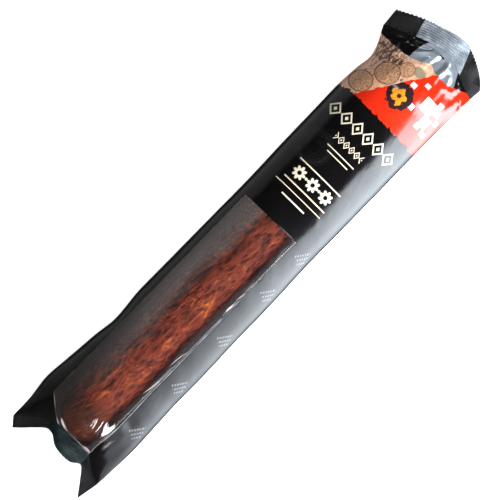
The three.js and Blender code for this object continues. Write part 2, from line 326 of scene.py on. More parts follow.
@dataclass(frozen=True)
class SharedEffects:
    """The shader effects that more than one finish uses."""

    crinkle: bpy.types.NodeTree
    smudge: bpy.types.NodeTree
    panel: bpy.types.NodeTree
    disc: bpy.types.NodeTree
    stroke: bpy.types.NodeTree

    @classmethod
    def build(cls) -> "SharedEffects":
        """Makes every shared node group once."""
        return cls(cls._crinkle(), cls._smudge(), cls._panel(), cls._disc(), cls._stroke())

    def rough(self, wires: Wiring, place: Socket, least: float, most: float) -> Socket:
        """A smudged roughness between least and most."""
        return wires.group(self.smudge, Vector=place, Least=least, Most=most).outputs[0]

    def dents(self, wires: Wiring, place: Socket, scale: float, creases: float) -> Socket:
        """The height of the film's small dents and creases."""
        return wires.group(self.crinkle, Vector=place, Scale=scale, Creases=creases).outputs[0]

    def box(self, wires: Wiring, place: Socket, x: float, y: float, half_x: float, half_y: float,
            softness: float = 0.25) -> Socket:
        """A rectangle round x and y as a mask."""
        return wires.group(
            self.panel, Vector=place, Centre=(x, y, 0.0), Half_Width=half_x, Half_Height=half_y,
            Softness=softness,
        ).outputs[0]

    def round(self, wires: Wiring, place: Socket, disc: Point, softness: float = 0.25) -> bpy.types.Node:
        """A disc of x, y and radius, as a node that gives its mask and its reach."""
        x, y, radius = disc
        return wires.group(self.disc, Vector=place, Centre=(x, y, 0.0), Radius=radius, Softness=softness)

    @staticmethod
    def _crinkle() -> bpy.types.NodeTree:
        """The small dents and creases of thin film, as a height."""
        wires, start, end = new_group(
            "film_crinkle",
            {"Vector": (0.0, 0.0, 0.0), "Scale": 60.0, "Creases": 0.5},
            {"Height": "NodeSocketFloat"},
        )
        soft = wires.add("TexNoise", {"Vector": start.outputs[0], "Scale": start.outputs[1], "Detail": 3.0})
        creased = wires.add(
            "TexVoronoi",
            {"Vector": start.outputs[0], "Scale": start.outputs[1]},
            feature="DISTANCE_TO_EDGE",
        )
        fold = wires.ramp(creased.outputs["Distance"], 0.0, 0.25, 1.0, 0.0)
        wires.join(
            wires.total(soft.outputs[0], wires.product(fold, start.outputs[2])), end.inputs[0]
        )
        return wires.tree

    @staticmethod
    def _smudge() -> bpy.types.NodeTree:
        """Faint uneven dulling of a glossy surface, as a roughness."""
        wires, start, end = new_group(
            "film_smudge",
            {"Vector": (0.0, 0.0, 0.0), "Least": 0.1, "Most": 0.2},
            {"Roughness": "NodeSocketFloat"},
        )
        cloud = wires.noise(start.outputs[0], 45.0, 4.0, 0.6)
        spread = wires.add(
            "MapRange",
            {
                "Value": cloud,
                "From Min": 0.35,
                "From Max": 0.7,
                "To Min": start.outputs[1],
                "To Max": start.outputs[2],
            },
        )
        wires.join(spread.outputs[0], end.inputs[0])
        return wires.tree

    @staticmethod
    def _panel() -> bpy.types.NodeTree:
        """A rectangle as a mask: Vector is the place in millimetres."""
        wires, start, end = new_group(
            "print_panel",
            {
                "Vector": (0.0, 0.0, 0.0),
                "Centre": (0.0, 0.0, 0.0),
                "Half Width": 1.0,
                "Half Height": 1.0,
                "Softness": 0.25,
            },
            {"Mask": "NodeSocketFloat"},
        )
        away = wires.geometry("SUBTRACT", start.outputs[0], start.outputs[1])
        x, y, _ = wires.axes(away)
        sides = []
        for part, half in ((x, start.outputs[2]), (y, start.outputs[3])):
            inside = wires.less(half, wires.size(part))
            edge = wires.ratio(inside, start.outputs[4])
            sides.append(wires.math("ADD", edge, 0.5, clamp=True))
        wires.join(wires.product(*sides), end.inputs[0])
        return wires.tree

    @staticmethod
    def _disc() -> bpy.types.NodeTree:
        """A disc as a mask, and how far out of its radius a place is: Vector is in millimetres."""
        wires, start, end = new_group(
            "print_disc",
            {"Vector": (0.0, 0.0, 0.0), "Centre": (0.0, 0.0, 0.0), "Radius": 1.0, "Softness": 0.25},
            {"Mask": "NodeSocketFloat", "Reach": "NodeSocketFloat"},
        )
        distance = wires.geometry("DISTANCE", start.outputs[0], start.outputs[1])
        edge = wires.ratio(wires.less(start.outputs[2], distance), start.outputs[3])
        wires.join(wires.math("ADD", edge, 0.5, clamp=True), end.inputs[0])
        wires.join(wires.ratio(distance, start.outputs[2]), end.inputs[1])
        return wires.tree

    @staticmethod
    def _stroke() -> bpy.types.NodeTree:
        """A bowed stroke, widest in its middle, as a mask: Vector, Start and End are in millimetres."""
        wires, start, end = new_group(
            "film_stroke",
            {
                "Vector": (0.0, 0.0, 0.0),
                "Start": (0.0, 0.0, 0.0),
                "End": (1.0, 0.0, 0.0),
                "Width": 1.0,
                "Bow": 0.0,
            },
            {"Mask": "NodeSocketFloat"},
        )
        spot, first, last, width, bow = start.outputs[:5]
        run = wires.geometry("SUBTRACT", last, first)
        away = wires.geometry("SUBTRACT", spot, first)
        ahead = wires.geometry("DOT_PRODUCT", away, run)
        square = wires.geometry("DOT_PRODUCT", run, run)
        share = wires.ratio(ahead, square, clamp=True)
        side = wires.geometry("CROSS_PRODUCT", run, (0.0, 0.0, 1.0))
        side = wires.geometry("NORMALIZE", side)
        off = wires.geometry("DOT_PRODUCT", away, side)
        arch = wires.product(share, wires.less(1.0, share), 4.0)
        reach = wires.size(wires.less(off, wires.product(bow, arch)))
        half = wires.product(width, wires.math("POWER", arch, 0.5))
        wires.join(wires.ratio(wires.less(half, reach), 0.45, clamp=True), end.inputs[0])
        return wires.tree


def new_material(name: str) -> tuple[bpy.types.Material, Wiring, bpy.types.Node]:
    """An empty node material, its wiring and its output node."""
    material = bpy.data.materials.new(name)
    material.use_nodes = True
    material.node_tree.nodes.clear()
    wires = Wiring(material.node_tree)
    return material, wires, wires.add("OutputMaterial")


# The pack's lines.


class Layer(Enum):
    """Which face of the pack a stretch of film belongs to."""

    FRONT = 1
    BACK = -1


class End(Enum):
    """The two ends of the pack."""

    TAIL = -1
    HEAD = 1


@dataclass(frozen=True)
class Column:
    """A lengthwise line of the film web."""

    layer: Layer
    stretch: int
    t: float
    seal_share: float
    web: float
    middle_y: float


@dataclass
class PackLines:
    """Where the film of the pack lies, in millimetres in the pack's own lines.

    The lines are those of the CAD pack: shift takes them to the row's frame.
    """

    side_z: float = 18.0
    crest_y: float = 6.0
    flat_half: float = 20.0
    front_left: tuple[float, float] = (0.44, 0.46)
    front_right: tuple[float, float] = (0.6, 0.6)
    back_side: tuple[float, float] = (0.5, 0.55)
    seal_lip: float = 0.12
    tail_zone_x: float = -150.0
    head_zone_x: float = 150.0
    sausage_y: float = 1.5
    sausage_tail_x: float = -186.0
    window_x: float = 26.5
    window_left_y: float = -19.5
    window_right_y: float = 30.3
    window_slant: tuple[tuple[float, float], tuple[float, float]] = ((-171.0, 30.3), (-188.5, 9.0))
    stations: tuple[tuple[float, ...], ...] = (
        (-190, -40.2, 41.0, 46.0),
        (-171, -41.0, 42.4, 46.0),
        (-150, -40.6, 40.5, 46.0),
        (-122, -39.7, 38.0, 46.0),
        (-104, -39.7, 35.7, 46.0),
        (-75, -39.4, 37.4, 46.0),
        (20, -38.0, 36.9, 46.0),
        (127, -37.6, 38.3, 46.0),
        (150, -37.7, 36.9, 45.8),
        (165, -37.8, 34.6, 45.5),
        (200, -38.8, 40.0, 45.0),
    )
    seal_start: dict[End, tuple[Point, ...]] = field(default_factory=lambda: {
        End.TAIL: (
            (-200, -39.3, 17), (-194, -27, 18.5), (-188, -17, 20), (-187, 0, 20.5),
            (-187.5, 12, 20.5), (-191, 21, 20.5), (-198, 31, 19.5), (-206, 39.8, 18.5),
        ),
        End.HEAD: (
            (190.5, -38.8, 12), (194, -29, 14), (200.5, -13, 17), (202, -3, 19),
            (200, 8, 20.5), (195, 22, 21), (184.5, 44.5, 20),
        ),
    })
    seal_cut: dict[End, tuple[Point, ...]] = field(default_factory=lambda: {
        End.TAIL: (
            (-218.9, -35.9, 12), (-207.5, -28, 15), (-198.6, -20.5, 18.5), (-202.6, -12.5, 20.5),
            (-201.8, 1.5, 21), (-196.8, 9.5, 21), (-196.6, 15.5, 21), (-201.8, 21.5, 20),
            (-208, 27.5, 18.8), (-213.8, 33.6, 17.5),
        ),
        End.HEAD: (
            (201, -39.5, 11.5), (209, -31.2, 14), (217.2, -14.2, 17.5), (218, -4, 20),
            (215, 8.3, 21.5), (209.2, 25.7, 22.5), (199.9, 45.8, 20.5),
        ),
    })
    shift: Vector = field(default_factory=Vector)
    loop: list[tuple[float, int, float, float]] = field(default_factory=list)

    def __post_init__(self) -> None:
        """Finds the shift to the frame from the CAD sausage, and measures the loop of the web."""
        low, high = (Vector(corner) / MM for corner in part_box("sausage"))
        self.shift = Vector((low.x - self.sausage_tail_x, (low.y + high.y) / 2 - self.sausage_y, 0.0))
        length, before = 0.0, None
        for stretch in range(6):
            for step in range(61):
                y, z = self.section(0.0, stretch, step / 60)
                if before is not None:
                    length += math.dist(before, (y, z))
                before = (y, z)
                self.loop.append((length, stretch, step / 60, y))

    @property
    def girth(self) -> float:
        """The length of the film web round the pack."""
        return self.loop[-1][0]

    def section(self, x: float, stretch: int, t: float) -> tuple[float, float]:
        """A point of the section at x.

        Args:
            x: along the pack.
            stretch: 0 to 5, round from the middle of the back by -Y, the crest and +Y.
            t: how far along that stretch, from 0 to 1.

        Returns:
            Y and Z.
        """
        left, right, top = between(self.stations, x)
        if stretch in (0, 5):
            return (-self.flat_half * t, 0.0) if stretch == 0 else (self.flat_half * (1 - t), 0.0)
        start, side, handles, along = {
            1: ((-self.flat_half, 0.0), left, self.back_side, t),
            2: ((self.crest_y, top), left, self.front_left, 1 - t),
            3: ((self.crest_y, top), right, self.front_right, t),
            4: ((self.flat_half, 0.0), right, self.back_side, 1 - t),
        }[stretch]
        y0, z0 = start
        points = (
            (y0, z0),
            (lerp(y0, side, handles[0]), z0),
            (side, lerp(self.side_z, z0, handles[1])),
            (side, self.side_z),
        )
        weights = ((1 - along) ** 3, 3 * (1 - along) ** 2 * along, 3 * (1 - along) * along**2, along**3)
        return (
            sum(w * p[0] for w, p in zip(weights, points)),
            sum(w * p[1] for w, p in zip(weights, points)),
        )

    def column(self, share: float) -> Column:
        """The column a share of the way round the web, from the middle of the back by -Y."""
        target = share * self.girth
        i = next((n for n, entry in enumerate(self.loop) if entry[0] >= target), len(self.loop) - 1)
        length, stretch, t, y = self.loop[i]
        if i and self.loop[i - 1][1] == stretch and length > self.loop[i - 1][0]:
            back = (length - target) / (length - self.loop[i - 1][0])
            t = lerp(t, self.loop[i - 1][2], back)
            y = lerp(y, self.loop[i - 1][3], back)
        left, crest, right = (self.loop[61 * n - 1][0] for n in (2, 3, 4))
        layer = Layer.FRONT if stretch in (2, 3) else Layer.BACK
        if layer is Layer.FRONT:
            seal_share = (target - left) / (right - left)
        elif target < left:
            seal_share = 0.5 * (left - target) / left
        else:
            seal_share = 1 - 0.5 * (target - right) / (self.girth - right)
        return Column(layer, stretch, t, seal_share, target - crest, y)

    def on_seal(self, end: End, share: float, out: float = 0.0) -> Vector:
        """A point of an end seal's middle surface.

        Args:
            end: which seal.
            share: across the seal from 0 at -Y to 1 at +Y.
            out: 0 where the film meets it, and 1 at the cut edge.

        Returns:
            The point, in millimetres.
        """
        start = Vector(through(self.seal_start[end], share))
        return start.lerp(Vector(through(self.seal_cut[end], share)), out)

    def end_point(self, end: End, column: Column, q: float) -> Vector:
        """A point of the film between an end seal, where q is 0, and the pack's body, where q is 1."""
        start = self.on_seal(end, column.seal_share)
        zone, rise, spread = (
            (self.tail_zone_x, (1 - (1 - q) ** 3.5) ** 0.45, 1 - (1 - q) ** 2)
            if end is End.TAIL
            else (self.head_zone_x, smoothstep(0, 1, q), 1 - (1 - q) ** 2.6)
        )
        x = lerp(start.x, zone, q)
        y, z = self.section(x, column.stretch, column.t)
        lip = self.seal_lip * column.layer.value
        return Vector((x, lerp(start.y, y, spread), lerp(start.z + lip, z, rise)))

    def body_point(self, column: Column, x: float) -> Vector:
        """A point of the film along the straight body of the pack."""
        return Vector((x, *self.section(x, column.stretch, column.t)))

    def to_frame(self, bm: bmesh.types.BMesh, offset: Point = (0.0, 0.0, 0.0)) -> None:
        """Moves a shape from the pack's own millimetres, by an offset, to the frame's metres."""
        bmesh.ops.translate(bm, verts=bm.verts, vec=self.shift + Vector(offset))
        bmesh.ops.scale(bm, verts=bm.verts, vec=(MM, MM, MM))

    def in_window(self, x: float, y: float) -> bool:
        """True inside the clear window, seen from above."""
        (x0, y0), (x1, y1) = self.window_slant
        if x > self.window_x or y < self.window_left_y or y > self.window_right_y:
            return False
        return (y - y1) < (x - x1) * (y0 - y1) / (x0 - x1) if x < x0 else True


# Finishes.


@dataclass(frozen=True)
class CasingFinish:
    """Smoke-dark casing drawn tight over lean meat and streaks of fat, with painted shade in its furrows and
    towards the tail, and painted highlights on its ridges.
    """

    effects: SharedEffects
    dark_end: float
    # The furrow colour is painted shade in the casing's furrows.
    furrow: Colour = (0.075, 0.014, 0.010, 1.0)
    lean: Colour = (0.165, 0.028, 0.015, 1.0)
    red: Colour = (0.26, 0.046, 0.021, 1.0)
    fat: Colour = (0.66, 0.165, 0.026, 1.0)
    # The pale colour is a painted highlight on the highest ridges.
    pale: Colour = (0.85, 0.42, 0.20, 1.0)
    # Painted shade, darkening the casing towards the tail's end.
    tail_shade: Colour = (0.045, 0.013, 0.006, 1.0)

    def build(self) -> bpy.types.Material:
        """Makes the material.

        Returns:
            The casing's material.
        """
        material, wires, out = new_material("cured_casing")
        spot = wires.position()
        height = wires.add("Attribute", attribute_name="relief").outputs["Fac"]
        slow = wires.scaled(spot, (30, 90, 90))
        drift = wires.add("TexNoise", {"Vector": slow, "Scale": 1.0, "Detail": 2.0})
        pushed = wires.geometry("SUBTRACT", drift.outputs["Color"], (0.5, 0.5, 0.5))
        slid = wires.geometry("MULTIPLY", pushed, (0.012, 0.007, 0.007))
        warped = wires.geometry("ADD", spot, slid)
        streaks = wires.noise(wires.scaled(warped, (150, 480, 480)), 1.0, 3.0, 0.6)
        fibre = wires.noise(wires.scaled(warped, (380, 1100, 1100)), 1.0, 3.0, 0.65)
        keen = wires.size(wires.math("MULTIPLY_ADD", streaks, 2.0, -1.0))
        clouds = wires.noise(wires.scaled(spot, (26, 70, 70)), 1.0, 2.0, 0.5)
        stand = wires.total(
            height, wires.product(wires.less(0.12, keen), 1.0),
            wires.product(wires.less(fibre, 0.5), 0.9),
        )
        meat = wires.total(stand, wires.product(wires.less(clouds, 0.5), 0.6))
        # The colour follows the relief: the furrow colour in its low places is painted shade.
        colour = wires.blend(wires.ramp(meat, -0.1, 0.35), self.furrow, self.lean)
        colour = wires.blend(wires.ramp(meat, 0.2, 0.7), colour, self.red)
        colour = wires.blend(wires.ramp(meat, 0.82, 1.35), colour, self.fat)
        # Painted highlights: the pale colour on the highest ridges.
        glint = wires.product(wires.ramp(meat, 1.1, 1.5), wires.ramp(fibre, 0.45, 0.62), 0.7)
        colour = wires.blend(glint, colour, self.pale)
        # Painted shade: the casing darkens towards the tail's end, with a ragged edge.
        tail_x, _, _ = wires.axes(spot)
        ragged = wires.total(tail_x, wires.product(wires.less(clouds, 0.5), 0.03))
        bright_end = wires.ramp(ragged, self.dark_end - 0.006, self.dark_end + 0.016)
        colour = wires.blend(wires.math("MULTIPLY_ADD", bright_end, -0.82, 0.82), colour, self.tail_shade)
        bumps = wires.total(wires.product(keen, -1.0), wires.product(fibre, 0.6))
        relief = wires.bump(bumps, 0.003, 1.0)
        dull = self.effects.rough(wires, spot, 0.26, 0.42)
        wires.principled(
            out,
            Base_Color=colour,
            Roughness=dull,
            Normal=relief,
            IOR=1.4,
            Specular_IOR_Level=0.3,
            Coat_Weight=0.1,
            Coat_Roughness=0.2,
        )
        return material


@dataclass(frozen=True)
class ClipFinish:
    """Drawn aluminium of the casing clip."""

    effects: SharedEffects

    def build(self) -> bpy.types.Material:
        """Makes the material."""
        material, wires, out = new_material("clip_aluminium")
        spot = wires.position()
        drawn = wires.noise(wires.scaled(spot, (300, 4000, 4000)), 1.0, 2.0)
        scratches = wires.bump(drawn, 0.0001, 0.4)
        dull = self.effects.rough(wires, spot, 0.25, 0.42)
        wires.principled(
            out,
            Base_Color=wires.blend(drawn, (0.62, 0.63, 0.65, 1.0), (0.8, 0.8, 0.81, 1.0)),
            Metallic=1.0,
            Roughness=dull,
            Normal=scratches,
        )
        return material


@dataclass(frozen=True)
class Stroke:
    """A stroke on the film from one point to another, in millimetres seen from above."""

    start: tuple[float, float]
    end: tuple[float, float]
    width: float
    bow: float = 0.0

    def mask(self, wires: Wiring, effects: SharedEffects, spot: Socket) -> Socket:
        """The stroke as a mask in a material."""
        return wires.group(
            effects.stroke, Vector=spot, Start=(*self.start, 0.0), End=(*self.end, 0.0),
            Width=self.width, Bow=self.bow,
        ).outputs[0]


@dataclass(frozen=True)
class ClearFilmFinish:
    """Clear film: light passes straight through, a thin haze stays on it, and it shines. Its whitened +Y side
    is a painted reflection, white strokes on its folds and along its -Y edge are painted highlights, and its
    dimmed -Y edge is painted shade.
    """

    effects: SharedEffects
    lines: PackLines
    tint: Colour = (0.95, 0.94, 0.93, 1.0)
    # A purple-grey tint of painted shade, dimming what shows through the film along its -Y edge.
    edge_shade: Colour = (0.46, 0.41, 0.52, 1.0)
    haze: Colour = (0.42, 0.36, 0.35, 1.0)
    # Painted highlights: white strokes where the film's folds catch the light, round the window's tail end
    # and along its -Y edge.
    folds: tuple[Stroke, ...] = (
        Stroke((-171.0, 30.0), (-182.5, 17.5), 0.6, -0.3),
        Stroke((-181.0, 19.5), (-189.0, 8.0), 0.7, -0.4),
        Stroke((-186.6, 2.0), (-180.7, 12.8), 1.3, -0.6),
        Stroke((-188.0, 7.0), (-186.2, 1.0), 0.8, 0.3),
        Stroke((-186.3, 2.5), (-187.0, -15.5), 0.9, -0.6),
        Stroke((-186.6, -11.0), (-185.4, -19.2), 1.6, -0.4),
        Stroke((-128.0, -16.4), (-110.0, -18.9), 0.5, 0.6),
        Stroke((-100.0, -16.9), (-84.0, -18.9), 0.45, -0.5),
        Stroke((-44.0, -18.2), (-36.0, -18.8), 0.9, 0.2),
        Stroke((-33.0, -17.9), (-24.0, -19.0), 0.5, 0.3),
    )

    def build(self) -> bpy.types.Material:
        """Makes the material.

        Returns:
            The clear film's material.
        """
        material, wires, out = new_material("clear_film")
        web = wires.attribute("web")
        along, _, across = wires.axes(web)
        shift = self.lines.shift
        spot = wires.scaled(wires.position(), (1000.0, 1000.0, 0.0), (-shift.x, -shift.y, 0.0))
        cloud = wires.noise(wires.scaled(web, (0.02, 0.06, 0.06)), 1.0, 3.0)
        drift = wires.less(cloud, 0.5)
        # Painted reflection: the film whitens towards its +Y side, more so away from the tail.
        painted_sheen = wires.product(
            wires.ramp(wires.total(across, wires.product(drift, 22.0)), 6.0, 24.0),
            wires.ramp(along, -180.0, -20.0, 0.02, 0.17),
        )
        shaded = wires.total(across, wires.product(drift, 9.0))
        low_mist = wires.ramp(shaded, -18.0, -13.5, 0.045, 0.0)
        # The film's faint even haze and a faint milkiness near its -Y edge, with the painted reflection,
        # painted highlights added below.
        haze_and_glare = wires.total(painted_sheen, low_mist, 0.005)
        # Painted highlight: a faint broken white line along the window's -Y edge.
        hem = wires.size(wires.less(wires.axes(spot)[1], self.lines.window_left_y + 0.35))
        hem_glint = wires.product(wires.ramp(hem, 0.2, 0.5, 1.0, 0.0), wires.ramp(cloud, 0.3, 0.6), 0.2)
        haze_and_glare = wires.most(haze_and_glare, hem_glint)
        # Painted highlights on the film's folds.
        for fold in self.folds:
            haze_and_glare = wires.most(haze_and_glare, wires.product(fold.mask(wires, self.effects, spot), 0.75))
        dents = self.effects.dents(wires, wires.scaled(web, (0.03, 0.06, 0.06)), 1.0, 0.4)
        height = wires.product(dents, 0.14)
        relief = wires.bump(height, 0.001, 1.0)
        # Painted shade: the film dims what shows through it along its -Y edge.
        tinted = wires.blend(wires.ramp(shaded, -17.5, -12.5), self.edge_shade, self.tint)
        passing = wires.add("BsdfTransparent", {"Color": tinted})
        # The haze colour carries both the film's haze and its painted reflection and highlights.
        matt = wires.add("BsdfDiffuse", {"Color": self.haze})
        shine = wires.add("BsdfGlossy", {"Color": (1.0, 1.0, 1.0, 1.0), "Roughness": 0.07, "Normal": relief})
        body = wires.add("MixShader", {0: haze_and_glare, 1: passing.outputs[0], 2: matt.outputs[0]})
        mirror = wires.add("Fresnel", {"IOR": 1.55, "Normal": relief}).outputs[0]
        outside = wires.less(1.0, wires.add("NewGeometry").outputs["Backfacing"])
        film = wires.add(
            "MixShader", {0: wires.product(mirror, outside), 1: body.outputs[0], 2: shine.outputs[0]}
        )
        wires.join(film.outputs[0], out.inputs[0])
        return material


@dataclass(frozen=True)
class Panel:
    """A printed rectangle: its centre along and across the pack, and its half sizes, in millimetres."""

    x: float
    y: float
    half_x: float
    half_y: float
    strength: float = 1.0

    def mask(self, wires: Wiring, effects: SharedEffects, place: Socket) -> Socket:
        """The rectangle as a mask in a material."""
        return effects.box(wires, place, self.x, self.y, self.half_x, self.half_y)


@dataclass(frozen=True)
class Border:
    """A row of outlined lozenges across the pack: its area, and a lozenge's half length and pitch."""

    area: Panel
    half: float
    pitch: float


@dataclass(frozen=True)
class PrintPlace:
    """Where a point of the printed film lies and how uneven the ink is there, as sockets."""

    wires: Wiring
    web: Socket
    along: Socket
    across: Socket
    flat: Socket
    cloud: Socket
    torn: Socket
    grain: Socket


@dataclass(frozen=True)
class PrintedFilmFinish:
    """Glossy black film with a generic print: cream borders, a tan and red end and faint side marks.

    Places are along and across the pack, and discs add their radius, all in millimetres.
    """

    effects: SharedEffects
    lines: PackLines
    black: Colour = (0.003, 0.0026, 0.0028, 1.0)
    grey: Colour = (0.13, 0.13, 0.14, 1.0)
    stamp_grey: Colour = (0.03, 0.03, 0.031, 1.0)
    cream: Colour = (0.74, 0.67, 0.52, 1.0)
    tan: Colour = (0.64, 0.33, 0.19, 1.0)
    pale_tan: Colour = (0.80, 0.50, 0.34, 1.0)
    shadow: Colour = (0.07, 0.02, 0.012, 1.0)
    light_heap: Colour = (0.78, 0.62, 0.52, 1.0)
    leaf_green: Colour = (0.20, 0.20, 0.135, 1.0)
    flesh: Colour = (0.34, 0.155, 0.08, 1.0)
    pale_flesh: Colour = (0.68, 0.39, 0.22, 1.0)
    rind: Colour = (0.12, 0.045, 0.025, 1.0)
    red: Colour = (0.66, 0.016, 0.004, 1.0)
    bright_red: Colour = (0.84, 0.06, 0.012, 1.0)
    white: Colour = (0.9, 0.88, 0.86, 1.0)
    flower_ground: Colour = (0.022, 0.012, 0.014, 1.0)
    orange: Colour = (0.60, 0.17, 0.012, 1.0)
    pale_orange: Colour = (0.80, 0.34, 0.02, 1.0)
    flower_heart: Colour = (0.05, 0.008, 0.006, 1.0)
    # Light silver for the bare film at the head end: a painted reflection on clear film over the black back.
    painted_reflection: Colour = (0.36, 0.41, 0.46, 1.0)
    slit_black: Colour = (0.002, 0.002, 0.002, 1.0)
    # The hem's pale grey: the unprinted edge, with painted highlights where it brightens.
    hem_and_glint: Colour = (0.45, 0.46, 0.5, 1.0)
    borders: tuple[Border, ...] = (
        Border(Panel(115.5, 0.2, 8.0, 31.2), 6.2, 10.4),
        Border(Panel(101.5, 0.0, 5.0, 13.0), 3.4, 5.2),
    )
    rules: tuple[Panel, ...] = (
        Panel(93.0, 0.0, 0.35, 13.0), Panel(89.5, 0.0, 0.35, 10.0),
        Panel(72.5, 0.0, 0.45, 20.0), Panel(56.0, 0.0, 0.45, 20.0),
        Panel(51.0, 1.5, 0.3, 22.0), Panel(45.5, 1.5, 0.55, 11.0),
    )
    rosette_x: float = 64.2
    rosettes_y: tuple[float, ...] = (-13.0, 0.0, 13.0)
    dots_y: tuple[float, ...] = (-6.5, 6.5)
    stamp: Point = (85.0, 18.5, 14.5)
    side_marks: tuple[tuple[tuple[float, ...], float], ...] = (
        ((-152.0, -107.0, -60.0, -15.0, 21.0), -42.0),
        ((-149.0, -106.0, -63.0, -19.5), 45.0),
    )
    heap: Point = (170.5, 27.0, 12.0)
    leaf: Point = (176.5, 1.6, 4.0)
    slices: tuple[Point, ...] = ((171.5, 10.5, 6.4), (142.6, 27.5, 8.6), (159.7, 18.6, 9.4))
    flower_dark: Point = (153.5, 0.3, 10.4)
    flower: Point = (153.0, 0.3, 6.4)
    slit: Panel = Panel(197.5, 1.0, 0.6, 3.2)
    white_checks: tuple[Panel, ...] = (
        Panel(166.5, -1.9, 2.0, 2.2),
        Panel(153.9, -11.2, 2.2, 2.2),
        Panel(163.3, -20.6, 5.5, 5.2),
        Panel(153.0, -26.5, 4.4, 3.4),
        Panel(147.4, -24.2, 2.0, 2.0),
        Panel(170.5, -27.0, 2.2, 2.0),
        Panel(158.5, -33.0, 2.2, 1.6),
        Panel(146.0, -31.5, 2.0, 2.6, 0.55),
        Panel(164.5, -29.0, 3.0, 2.2, 0.45),
        Panel(173.7, -9.9, 1.8, 2.2, 0.7),
    )

    def _lozenges(self, at: PrintPlace, border: Border) -> Socket:
        """A row of outlined lozenges with a dot in each, as a mask."""
        wires = at.wires
        dx = wires.ratio(wires.size(wires.less(at.along, border.area.x)), border.half)
        turn = wires.math("FRACT", wires.ratio(at.across, border.pitch))
        reach = wires.math("ADD", dx, wires.size(wires.math("MULTIPLY_ADD", turn, 2.0, -1.0)))
        outline = wires.product(wires.ramp(reach, 0.66, 0.74), wires.ramp(reach, 0.92, 1.0, 1.0, 0.0))
        lozenge = wires.most(outline, wires.ramp(reach, 0.2, 0.32, 1.0, 0.0))
        return wires.product(lozenge, border.area.mask(wires, self.effects, at.flat))

    @staticmethod
    def _petals(wires: Wiring, place: Socket, x: float, y: float, radius: float, count: int) -> Socket:
        """A plain flower of rounded petals as a mask."""
        moved = wires.geometry("SUBTRACT", place, (x, y, 0.0))
        dx, dy, _ = wires.axes(moved)
        angle = wires.math("ARCTAN2", dy, dx)
        wave = wires.size(wires.math("COSINE", wires.product(angle, count / 2)))
        limit = wires.math("MULTIPLY_ADD", wave, 0.45 * radius, 0.6 * radius)
        reach = wires.geometry("LENGTH", moved)
        return wires.math("MULTIPLY_ADD", wires.less(limit, reach), 2.0, 0.5, clamp=True)

    def _cream_print(self, at: PrintPlace) -> Socket:
        """The cream borders, rules and small rosettes of the black panel as a mask."""
        wires = at.wires
        masks = [self._lozenges(at, border) for border in self.borders]
        masks += [rule.mask(wires, self.effects, at.flat) for rule in self.rules]
        for y in self.rosettes_y:
            ring = self._petals(wires, at.flat, self.rosette_x, y, 5.0, 8)
            heart = self.effects.round(wires, at.flat, (self.rosette_x, y, 1.7)).outputs["Mask"]
            masks.append(wires.less(ring, heart, clamp=True))
        for y in self.dots_y:
            masks.append(self.effects.round(wires, at.flat, (self.rosette_x, y, 1.0)).outputs["Mask"])
        return wires.most(*masks)

    def _stamp(self, at: PrintPlace) -> Socket:
        """The faint round seal: rings with a band of ticks between them, as a mask."""
        wires = at.wires
        reach = self.effects.round(wires, at.flat, self.stamp).outputs["Reach"]
        dx, dy, _ = wires.axes(wires.geometry("SUBTRACT", at.flat, (*self.stamp[:2], 0.0)))
        ticks = wires.ramp(wires.sine(wires.product(wires.math("ARCTAN2", dy, dx), 36.0)), 0.0, 0.6)
        band = wires.product(wires.ramp(reach, 0.68, 0.7), wires.ramp(reach, 0.86, 0.88, 1.0, 0.0), ticks)
        rings = wires.ramp(wires.sine(wires.product(reach, 42.0)), 0.75, 0.95)
        kept = wires.product(rings, wires.ramp(reach, 0.3, 0.34), wires.ramp(reach, 0.97, 1.0, 1.0, 0.0))
        return wires.most(kept, band)

    def _dashes(self, at: PrintPlace, web: Socket) -> Socket:
        """Faint groups of short rows of dashes down both black sides, as a mask."""
        wires, slant = at.wires, math.sqrt(0.5)
        u = wires.product(wires.less(at.along, web), slant)
        v = wires.product(wires.total(at.along, web), slant)
        groups = []
        for x, middle in ((x, middle) for centres, middle in self.side_marks for x in centres):
            du = wires.total(u, -(x - middle) * slant)
            dv = wires.total(v, -(x + middle) * slant)
            row = wires.math("ROUND", wires.ratio(dv, 3.4))
            off = wires.size(wires.less(dv, wires.product(row, 3.4)))
            kept = wires.ramp(wires.size(row), 1.3, 1.6, 1.0, 0.0)
            reach = wires.math("MULTIPLY_ADD", row, 1.4, 5.8)
            span = wires.less(reach, wires.size(du), clamp=True)
            dash = wires.ramp(wires.sine(wires.product(du, math.tau / 2.1)), -0.35, 0.1)
            groups.append(wires.product(wires.ramp(off, 0.75, 0.95, 1.0, 0.0), kept, span, dash))
        return wires.most(0.0, *groups)

